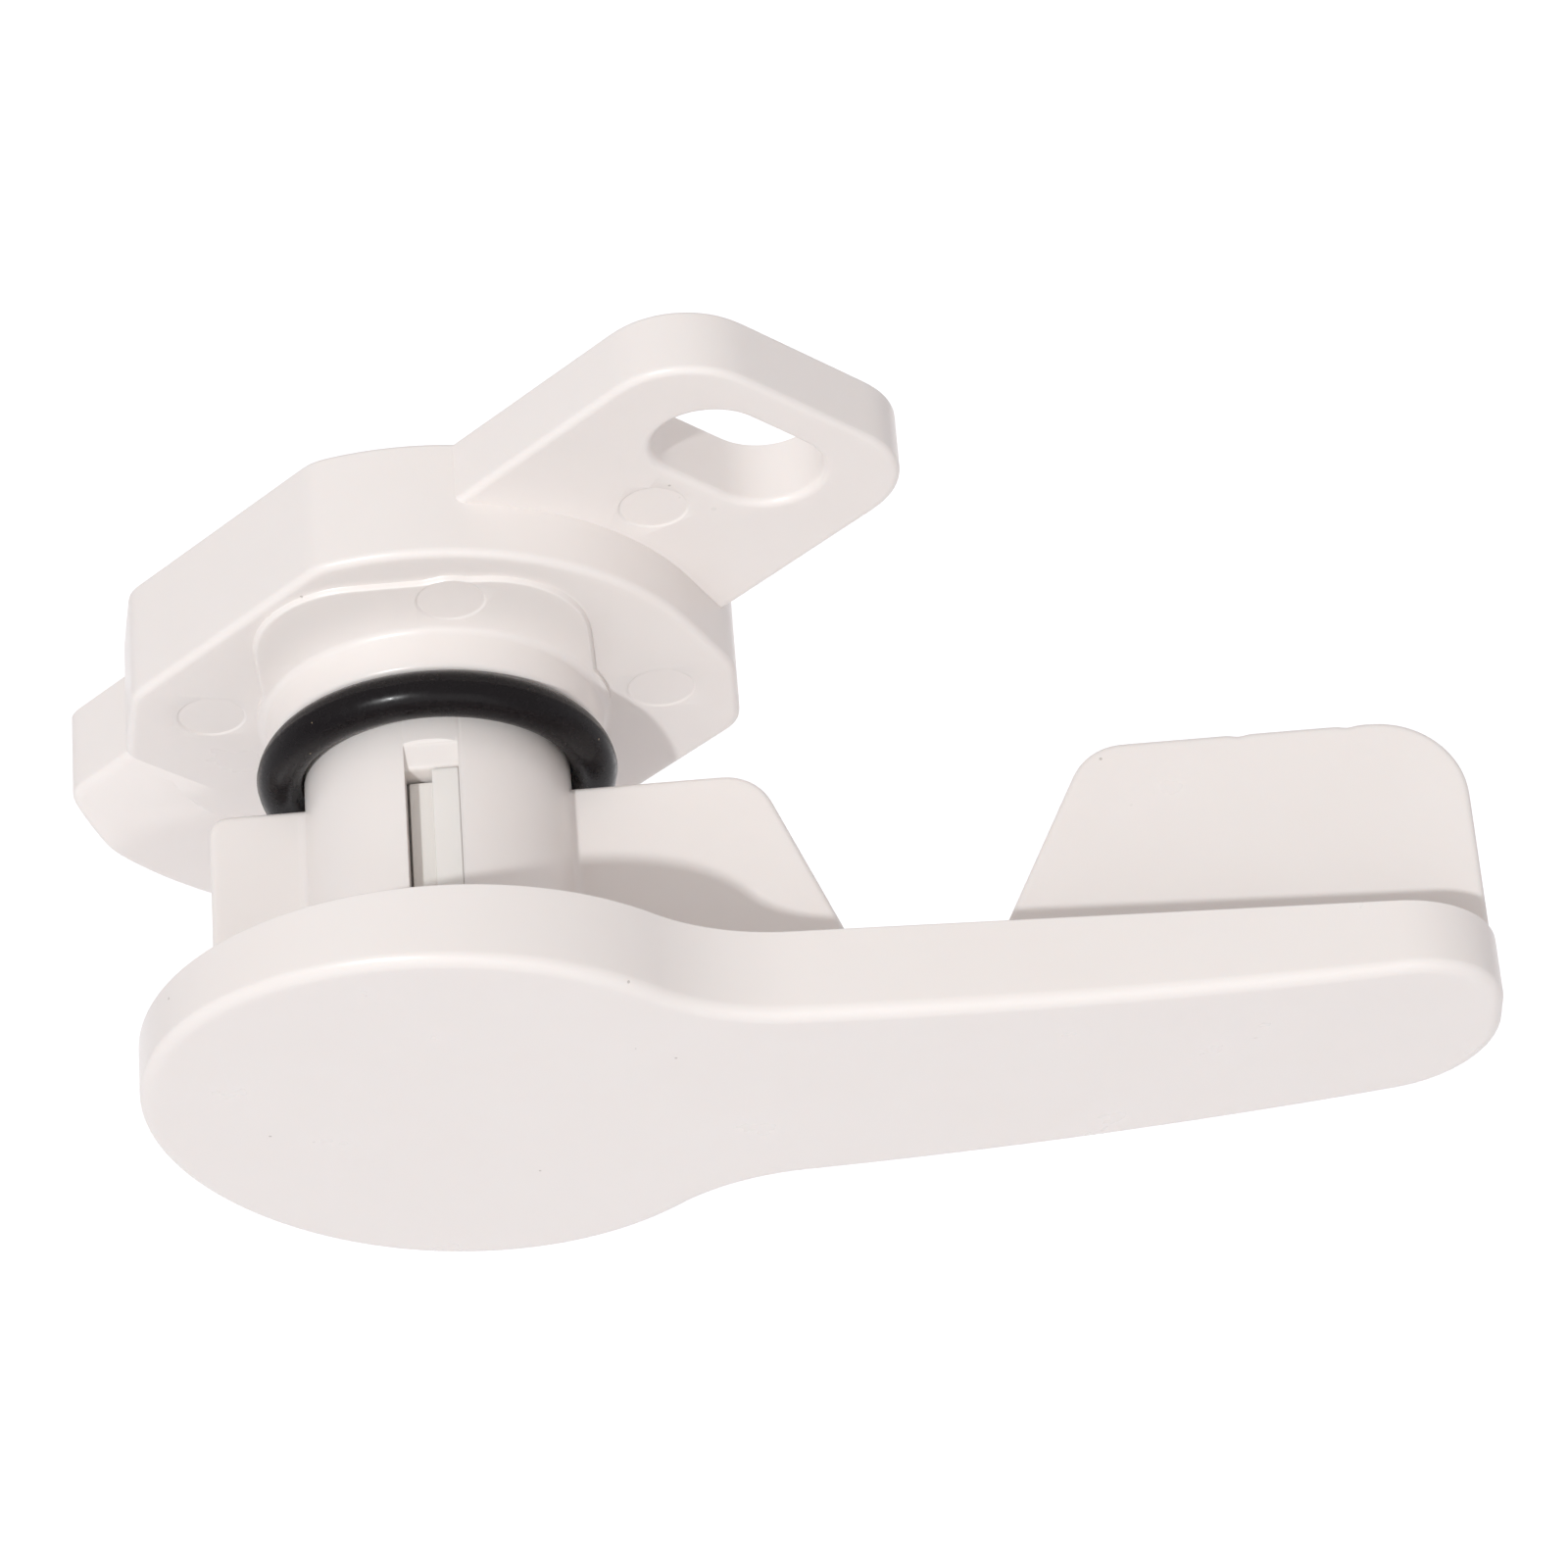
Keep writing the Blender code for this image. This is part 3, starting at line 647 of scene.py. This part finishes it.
# %% [markdown]
# ## Pin marks
# When the mould opens, steel pins push the moulding off. Each leaves a shallow round mark with a soft rim.
# A bump in the material could show them, but then they would be lost in the exported mesh, so they are cut
# like the other hollows.

# %% Cut the body
PIN_RADIUS = 2.05
PIN_DEPTH = 0.09
PIN_EDGE = 0.22
# Each mark's place, and the height of the face that it is on.
PIN_MARKS = {
    "pad": (PAD_PIN, pad_top),
    "right": ((13.8, 0.9), BLOCK_THICKNESS),
    "left": ((-13.3, 1.8), BLOCK_THICKNESS),
    "ear": ((14.4, 15.2), EAR_THICKNESS),
}


def circle_line(centre, radius):
    return softened_loop([arc(centre, radius, 0.0, 352.5)], 0.0, step=0.2)


groove_side = np.array([(0.0, -1.0), (0.0, GROOVE_DEPTH)])
groove_tool = slab("groove_tool", groove_line(), groove_side, np.array([5.0, 5.0]))
pin_tools = []
for mark, (place, face) in PIN_MARKS.items():
    slope = soft_step(face - PIN_DEPTH, face + 0.01, PIN_EDGE) * (-1.0, 1.0)
    pin_side = np.vstack((slope, [(-PIN_EDGE, face + 0.4)]))
    pin_line = circle_line(place, PIN_RADIUS - PIN_EDGE / 2.0)
    pin_tools.append(slab(f"pin_tool_{mark}", pin_line, pin_side, np.array(place)))
combine(block, [slot_tool, bore_tool, groove_tool, *pin_tools], "DIFFERENCE")
body_moulding = finish_surface(block)

# %% [markdown]
# ## The lever's plate
# Seen from outside, the plate is a round hub that narrows through two concave necks into a tapering arm.
# Its face bows gently along its length, which stops it looking sunken once it has shrunk in the mould. A
# hub and an arm can't share one middle point, so the face closes on a line from the hub's centre to the
# tip's, where the upper and lower halves meet and are welded.

# %% The plate
PLATE_BACK = 30.25
HUB_RADIUS = 18.2
NECK_RADIUS = 12.0
ARM_NEAR = (20.0, 9.7)
ARM_FAR = (60.0, 7.2)
LEVER_TIP = 61.4
TIP_RADIUS = 6.4
CROWN_X = 24.6
CROWN_OUT = 35.95
CROWN_RADIUS = 417.0


def plate_line():
    """Tip arc, straight taper, neck arc and hub arc along the top, and the same mirrored below.

    The neck's centre is NECK_RADIUS from the arm's edge and HUB_RADIUS + NECK_RADIUS from the spindle.
    """
    lean = math.atan((ARM_NEAR[1] - ARM_FAR[1]) / (ARM_FAR[0] - ARM_NEAR[0]))
    normal = np.array([math.sin(lean), math.cos(lean)])
    along = np.array([math.cos(lean), -math.sin(lean)])
    anchor = np.array(ARM_NEAR) + NECK_RADIUS * normal
    reach = HUB_RADIUS + NECK_RADIUS
    shift = -anchor @ along + math.sqrt((anchor @ along) ** 2 - anchor @ anchor + reach ** 2)
    neck = anchor + shift * along
    hub_angle = math.degrees(math.atan2(neck[1], neck[0]))
    tip_x = LEVER_TIP - TIP_RADIUS
    tip_z = ARM_NEAR[1] - math.tan(lean) * (tip_x - ARM_NEAR[0]) - TIP_RADIUS / math.cos(lean)
    upper = np.vstack((
        [(LEVER_TIP, 0.0)],
        arc((tip_x, tip_z), TIP_RADIUS, 0.0, 90.0 - math.degrees(lean)),
        arc(neck, NECK_RADIUS, 270.0 - math.degrees(lean), 180.0 + hub_angle),
        arc((0, 0), HUB_RADIUS, hub_angle + 1.0, 180.0, 96),
    ))
    return softened_loop([upper, (upper * (1.0, -1.0))[-2:0:-1]], 0.6)


def crown(x, _):
    """How far the bowed face falls below its crown: (x - crown)^2 / (2 R)."""
    return -(x - CROWN_X) ** 2 / (2.0 * CROWN_RADIUS)


outline = plate_line()
spine = np.column_stack((np.clip(outline[:, 0], 0.0, LEVER_TIP - TIP_RADIUS), np.zeros(len(outline))))
plate_side = rounded_side(PLATE_BACK, CROWN_OUT, 0.12, 0.85, steps=8)
plate = slab("lever_handle_moulding", outline, plate_side, spine, lift=crown)
print("the face falls", round(-crown(-HUB_RADIUS, 0), 2), "mm at the hub and",
      round(-crown(LEVER_TIP, 0), 2), "at the tip")

# %% [markdown]
# ## Webs
# Two thin webs stand on the plate's back, with the notch for the keeper between them. One web with a notch
# cut in it would do too, but each has its own corner radii, so they are two slabs on edge.

# %% The webs
WEB_HALF = 1.25
WEB_EDGE = 14.4
WEB_ROOT = 33.0
WEB_LEFT = -13.7
WEB_RIGHT = 61.2
# The notch's two sides: where each meets the plate's back, and how far it leans for each mm outwards.
NOTCH_LEFT = (25.5, 0.403)
NOTCH_RIGHT = (31.0, -0.497)
NICKS_X = (48.0, 54.5)
NICK_DEPTH = 0.12
NICK_WIDTH = 0.45


def stem_web_line():
    """Square at its left end, with a long slope on the right; its root is buried in the plate."""
    foot = NOTCH_LEFT[0] + (WEB_ROOT - PLATE_BACK) * NOTCH_LEFT[1]
    heel = NOTCH_LEFT[0] - (PLATE_BACK - WEB_EDGE) * NOTCH_LEFT[1]
    corners = [(foot, WEB_ROOT), (WEB_LEFT, WEB_ROOT), (WEB_LEFT, WEB_EDGE), (heel, WEB_EDGE)]
    return softened_loop(rounded_corners(corners, (1.5, 1.5, 1.0, 3.0)), 0.3)


def far_web_line():
    """The web by the tip; its free edge has two small nicks left by the mould, each a narrow bell curve."""
    foot = NOTCH_RIGHT[0] + (WEB_ROOT - PLATE_BACK) * NOTCH_RIGHT[1]
    heel = NOTCH_RIGHT[0] - (PLATE_BACK - WEB_EDGE) * NOTCH_RIGHT[1]
    corners = [(WEB_RIGHT, WEB_ROOT), (foot, WEB_ROOT), (heel, WEB_EDGE), (WEB_RIGHT, WEB_EDGE)]
    line = softened_loop(rounded_corners(corners, (1.5, 1.5, 3.4, 5.3)), 0.3)
    free = line[:, 1] < WEB_EDGE + 2.0
    for nick in NICKS_X:
        line[:, 1] += free * NICK_DEPTH * np.exp(-((line[:, 0] - nick) / NICK_WIDTH) ** 2)
    return line


web_side = rounded_side(-WEB_HALF, WEB_HALF, 0.4, 0.4)
stem_web = slab("stem_web", stem_web_line(), web_side, np.array([4.0, 23.5]), direction="up")
far_web = slab("far_web", far_web_line(), web_side, np.array([47.0, 24.0]), direction="up")
print("webs", 2 * WEB_HALF, "mm thick, free edge", WEB_EDGE, "mm out")

# %% [markdown]
# ## Stem
# The stem is a turned cup that is open at the back. Faint witness lines run down it where the slides that
# form its window meet. They are part of the turned surface, so its grid is fine enough round the stem to
# hold them. Small fillets, which a mould needs where a web meets the stem, fill the corners between them.

# %% The stem and the fillets beside it
STEM_RADIUS = 8.0
STEM_HOLLOW = 5.9
STEM_HOLLOW_END = 28.5
STEM_FOOT = 3.0
# Degrees from the top, either side of the window.
WITNESS_ANGLES = (-10.6, 13.6)
WITNESS_DEPTH = 0.02
WITNESS_DEGREES = 0.6
FILLET = 0.7


def witness_lines(radius, out, angle):
    """Fine grooves down the stem: bell curves, depth * e^-(a / w)^2 at an angle a from each line."""
    depth = 0.0
    for bearing in WITNESS_ANGLES:
        for side in (0.0, 180.0):
            away = np.degrees(angle) - (90.0 - bearing + side)
            away = (away + 180.0) % 360.0 - 180.0
            depth = depth + WITNESS_DEPTH * np.exp(-(away / WITNESS_DEGREES) ** 2)
    outside = radius > STEM_RADIUS - 0.05
    return radius - depth * outside, out


def stem_profile():
    wall = np.linspace(STEM_FOOT + 0.3, WEB_ROOT, 12)
    return np.vstack((
        [(0.0, STEM_HOLLOW_END), (STEM_HOLLOW, STEM_HOLLOW_END), (STEM_HOLLOW, STEM_FOOT + 0.3)],
        [(STEM_HOLLOW + 0.3, STEM_FOOT), (STEM_RADIUS - 0.3, STEM_FOOT)],
        np.column_stack((np.full(12, STEM_RADIUS), wall)),
        [(0.0, WEB_ROOT)],
    ))


def fillet_line():
    """The wedge between stem and web, closed by a concave arc that touches both."""
    centre_z = WEB_HALF + FILLET
    centre_x = math.sqrt((STEM_RADIUS + FILLET) ** 2 - centre_z ** 2)
    touch = math.degrees(math.atan2(centre_z, centre_x))
    return softened_loop([
        [(STEM_RADIUS - 0.9, 0.5), (centre_x, 0.5)],
        arc((centre_x, centre_z), FILLET, 270.0, 180.0 + touch, 10),
        [(STEM_RADIUS - 0.9, 1.6)],
    ], 0.0, step=0.08)


stem = turned("stem", stem_profile(), steps=720, change=witness_lines)
fillets = []
for place, (side_x, side_z) in enumerate(((1, 1), (1, -1), (-1, 1), (-1, -1))):
    corner = fillet_line() * (side_x, side_z)
    fillet_side = np.array([(0.0, WEB_EDGE + 0.5), (0.0, PLATE_BACK + 0.5)])
    fillets.append(slab(f"fillet_{place}", corner, fillet_side, np.array([7.5 * side_x, 1.0 * side_z])))
print("stem", 2 * STEM_RADIUS, "mm across with", len(WITNESS_ANGLES), "witness lines a side")

# %% [markdown]
# ## The window
# The window starts with a rounded lip, runs down a short ramp and then opens into the hollow, where the
# core's tongue catches. The tool that cuts it is that section carried across the window's width, so lip,
# ramp and opening come from one line.

# %% Cut the windows and finish the lever
WINDOW_X = (-1.45, 1.75)
WINDOW_TOP = 14.2
WINDOW_STEP = 16.2
WINDOW_BOTTOM = 26.6


def window_line():
    """The window's section in (height, out): lip, ramp, and a straight opening into the hollow."""
    inside = STEM_HOLLOW - 1.0
    return softened_loop([np.array([
        (STEM_RADIUS + 1.2, WINDOW_TOP - 0.75), (STEM_RADIUS - 0.2, WINDOW_TOP + 0.3),
        (STEM_RADIUS - 0.65, WINDOW_STEP - 0.2), (inside, WINDOW_STEP - 0.2),
        (inside, WINDOW_BOTTOM), (STEM_RADIUS + 1.2, WINDOW_BOTTOM),
    ])], 0.32, step=0.08)


window_tools = []
for side in (1.0, -1.0):
    width = np.column_stack((np.zeros(2), np.array(WINDOW_X) * side))
    tool_line = window_line() * (side, 1.0)
    middle = np.array([7.6 * side, 21.0])
    window_tools.append(slab(f"window_tool_{int(side)}", tool_line, width, middle, direction="along"))
combine(plate, [stem, stem_web, far_web, *fillets], "UNION")
combine(plate, window_tools, "DIFFERENCE")
lever_moulding = finish_surface(plate)

# %% [markdown]
# ## The retaining core
# The core is pushed in from the back until its two tongues snap into the windows. Its head bears on the
# washer, and a lug on the head stops the lever after a quarter turn. Two narrow slots free the arms that
# carry the tongues. Each tongue stands on a lower seat that fills the window, so a tongue and its seat are
# the same line at two heights.

# %% The core
CORE_HEAD = 11.9
HEAD_BACK = 0.6
HEAD_FRONT = 2.4
CORE_RADIUS = 5.6
CORE_HOLLOW = 3.4
CORE_END = 27.5
TONGUE_X = (0.15, 1.73)
TONGUE_HEIGHT = 7.82
SEAT_X = (-1.3, 1.2)
SEAT_HEIGHT = 6.28
TONGUE_TIP = 16.2
TONGUE_END = 25.0
TONGUE_ROOT = 4.0
LUG_RADIUS = 13.9
LUG_HALF_ANGLE = 8.0
ARM_SLOT_X = 2.2
ARM_SLOT_HALF = 0.4


def core_profile(edge=0.3):
    return np.vstack((
        [(CORE_HOLLOW, HEAD_BACK + edge), (CORE_HOLLOW + edge, HEAD_BACK)],
        arc((CORE_HEAD - edge, HEAD_BACK + edge), edge, 270, 360, 6),
        arc((CORE_HEAD - edge, HEAD_FRONT - edge), edge, 0, 90, 6),
        arc((CORE_RADIUS + edge, HEAD_FRONT + edge), edge, 270, 180, 6),
        [(CORE_RADIUS, CORE_END - 0.8), (CORE_RADIUS - 0.8, CORE_END), (CORE_HOLLOW, CORE_END)],
    ))


def tongue_line(side, height):
    """The tongue or its seat in (height, out): square towards the mouth, with a short ramp behind."""
    corners = np.array([
        (TONGUE_ROOT, TONGUE_TIP), (height, TONGUE_TIP), (height, TONGUE_END), (TONGUE_ROOT, 26.2)])
    parts = rounded_corners(corners * (side, 1.0), (0.25, 0.2, 0.4, 0.3))
    return softened_loop(parts, 0.1, step=0.08)


def lug_line():
    inner = CORE_HEAD - 1.5
    return softened_loop([
        arc((0, 0), LUG_RADIUS, -LUG_HALF_ANGLE, LUG_HALF_ANGLE, 12),
        arc((0, 0), inner, LUG_HALF_ANGLE, -LUG_HALF_ANGLE, 12),
    ], 0.5)


core = turned("retaining_core_moulding", core_profile(), ring=True)
lug = slab("lug", lug_line(), rounded_side(HEAD_BACK, 2.2, 0.2, 0.2), np.array([12.2, 0.0]))
tongues = []
for side in (1.0, -1.0):
    for label, reach, height in (("seat", SEAT_X, SEAT_HEIGHT), ("tongue", TONGUE_X, TONGUE_HEIGHT)):
        line = tongue_line(side, height)
        across = rounded_side(*np.sort(np.array(reach) * side), 0.1, 0.1)
        middle = np.array([5.3 * side, 20.5])
        tongues.append(slab(f"{label}_{int(side)}", line, across, middle, direction="along"))
combine(core, [lug, *tongues], "UNION")
arm_tools = []
for side in (1.0, -1.0):
    x = ARM_SLOT_X * side
    left, right = x - ARM_SLOT_HALF, x + ARM_SLOT_HALF
    bar = softened_loop([np.array([(left, -7), (right, -7), (right, 7), (left, 7)])], 0.0)
    arm_side = np.array([(0, 9.0), (0, 29.0)])
    arm_tools.append(slab(f"arm_tool_{int(side)}", bar, arm_side, np.array([x, 0.0])))
combine(core, arm_tools, "DIFFERENCE")
core_moulding = finish_surface(core)

# %% [markdown]
# ## The rubber ring and the wave washer
# The ring is a torus squeezed lightly between the collar and the stem, with the thin line of flash that
# its split mould leaves round the outside. The washer is a flat ring with three gentle waves.

# %% The ring and the washer
RING_CENTRE = (9.42, 12.15)
RING_SECTION = 1.38
FLASH = 0.035
FLASH_DEGREES = 4.0
WAVE_HEIGHT = 0.12
WAVES = 3.0


def ring_profile():
    """A circle whose radius grows by a narrow bell curve at the outermost point, for the flash line."""
    angle = np.linspace(-180.0, 180.0, 72, endpoint=False)
    size = RING_SECTION + FLASH * np.exp(-(angle / FLASH_DEGREES) ** 2)
    around = np.radians(angle)[:, None]
    return RING_CENTRE + size[:, None] * np.hstack((np.cos(around), np.sin(around)))


def washer_waves(radius, out, angle):
    """The washer's height rises and falls by height * sin(n a) round it."""
    return radius, out + WAVE_HEIGHT * np.sin(WAVES * angle)


seal = finish_surface(turned("o_ring_rubber", ring_profile(), ring=True, steps=256))
washer_corners = np.array([(8.5, 2.85), (11.7, 2.85), (11.7, 3.15), (8.5, 3.15)])
washer_section = softened_loop([washer_corners], 0.12, step=0.06)
washer = finish_surface(turned("wave_washer_steel", washer_section, ring=True, change=washer_waves))

# %% [markdown]
# ## Hand the pieces to the frame
# Each finished surface replaces one node of the imported model, which is hidden, rides on that node's body,
# and takes the material listed for it.

# %% Materials, bodies and slots
PIECES = (
    (body_moulding, white_abs, "bearing_body", "base", "moulded_body"),
    (lever_moulding, white_abs, "lever_handle", "lever", "moulded_body"),
    (core_moulding, natural_acetal, "retaining_core", "lever", "natural_core"),
    (seal, black_nitrile, "o_ring", "base", "seal_rubber"),
    (washer, spring_steel, "wave_washer", "lever", "spring_steel"),
)
for piece, material, node, body, slot in PIECES:
    piece.data.materials.clear()
    piece.data.materials.append(material)
    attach(piece, body)
    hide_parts(node)
    print(piece.name, "stands for", node)

# %% [markdown]
# ## Floor
# The latch is held up by its mount, so the floor lies well below it and only returns a soft light. The
# floor is a shallow dish: flat, then rising with the square of the distance, so no horizon shows. Its
# matte white paper glows a little where the latch is seen against it, and the glow fades before it could
# light the latch's face.

# %% The floor
FLOOR_DEPTH = 0.42
FLOOR_FLAT = 1.5
FLOOR_RADIUS = 3.5
FLOOR_RIM = 1.6
GLOW_MIDDLE = (0.03, 0.26, -FLOOR_DEPTH)
GLOW_EVEN = 0.2
GLOW_END = 0.55
GLOW_STRENGTH = 0.45
radius = np.concatenate(([0.0], np.linspace(FLOOR_FLAT, FLOOR_RADIUS, 24)))[:, None]
angle = np.linspace(0.0, 2.0 * math.pi, 96, endpoint=False)[None, :]
climb = np.clip((radius - FLOOR_FLAT) / (FLOOR_RADIUS - FLOOR_FLAT), 0.0, 1.0)
height = FLOOR_RIM * climb ** 2 - FLOOR_DEPTH + 0.0 * angle
floor = skin("floor", np.dstack((radius * np.cos(angle), height, -radius * np.sin(angle))) / MM)
floor.data.flip_normals()
floor.data.shade_smooth()
paper, paper_shader, paper_place = new_material(
    "matte_white_paper", Roughness=0.9, Base_Color=linear("#D9D8DA"))
paper_shader.inputs["Emission Color"].default_value = linear("#FFFFFF")
# The glow: even out to GLOW_EVEN from its middle, in metres, and gone at GLOW_END.
away = add(paper, "ShaderNodeVectorMath", {0: paper_place}, {"operation": "DISTANCE"}, {1: GLOW_MIDDLE})
glow = add(paper, "ShaderNodeMapRange", {"Value": away.outputs["Value"]},
           {"interpolation_type": "SMOOTHSTEP"},
           {"From Min": GLOW_EVEN, "From Max": GLOW_END, "To Min": GLOW_STRENGTH, "To Max": 0.0})
connect(paper, glow.outputs["Result"], paper_shader.inputs["Emission Strength"])
floor.data.materials.append(paper)
print("floor", FLOOR_DEPTH, "m below the spindle")

# %% [markdown]
# ## Light
# Soft studio light alone would hide the thin steps and marks, so one small sun from the upper left front
# draws crisp shadows. A wide, weak panel behind the camera and a pale sky fill them.

# %% The light
SUN_FROM = (-0.365, -0.505, 0.782)
MIDDLE = (0.021, -0.02, 0.009)
SUN_STRENGTH = 1.52
PANEL_POWER = 2.1
SKY_STRENGTH = 0.54


def light(name, kind, energy, place, towards, **settings):
    """A light at a place, turned so that its beam (-Z) points towards a point."""
    lamp = bpy.data.lights.new(name, kind)
    lamp.energy = energy
    for setting, value in settings.items():
        setattr(lamp, setting, value)
    holder = bpy.data.objects.new(name, lamp)
    bpy.context.scene.collection.objects.link(holder)
    beam = Vector(place) - Vector(towards)
    holder.matrix_world = Matrix.Translation(place) @ beam.to_track_quat("Z", "Y").to_matrix().to_4x4()
    return holder


light("sun", "SUN", SUN_STRENGTH, SUN_FROM, (0.0, 0.0, 0.0),
      angle=math.radians(2.6), color=linear("#FCFEFF")[:3])
light("panel", "AREA", PANEL_POWER, (0.05, -0.9, 0.55), MIDDLE,
      shape="RECTANGLE", size=1.2, size_y=0.9)
sky = bpy.data.worlds.new("pale_sky")
sky.use_nodes = True
sky.node_tree.nodes["Background"].inputs["Color"].default_value = linear("#FFFAF9")
sky.node_tree.nodes["Background"].inputs["Strength"].default_value = SKY_STRENGTH
bpy.context.scene.world = sky
bpy.context.scene.view_settings.view_transform = "Standard"
print("sun from", SUN_FROM)

# %% [markdown]
# ## Camera
# The camera looks down on the latch from the front at a steep angle, with a long lens that keeps its lines
# nearly parallel, and it is rolled by a few degrees. Its axes are written out as a matrix, because a
# tracking constraint would undo the roll.

# %% The camera
CAMERA_TARGET = np.array([0.020706, -0.020, 0.008926])
CAMERA_DISTANCE = 0.371757
CAMERA_ELEVATION = math.radians(59.0)
CAMERA_ROLL = -0.082
CAMERA_LENS = 146.56

back = np.array([0.0, -math.cos(CAMERA_ELEVATION), math.sin(CAMERA_ELEVATION)])
right = np.array([1.0, 0.0, 0.0])
upward = np.cross(back, right)
rolled_right = math.cos(CAMERA_ROLL) * right + math.sin(CAMERA_ROLL) * upward
rolled_up = math.cos(CAMERA_ROLL) * upward - math.sin(CAMERA_ROLL) * right
stand = CAMERA_TARGET + CAMERA_DISTANCE * back
lens = bpy.data.cameras.new("camera")
lens.lens = CAMERA_LENS
lens.clip_start = 0.01
camera = bpy.data.objects.new("camera", lens)
bpy.context.scene.collection.objects.link(camera)
pose = np.eye(4)
pose[:3] = np.column_stack((rolled_right, rolled_up, back, stand))
camera.matrix_world = Matrix(pose.tolist())
bpy.context.scene.camera = camera
print("camera at", stand.round(4))
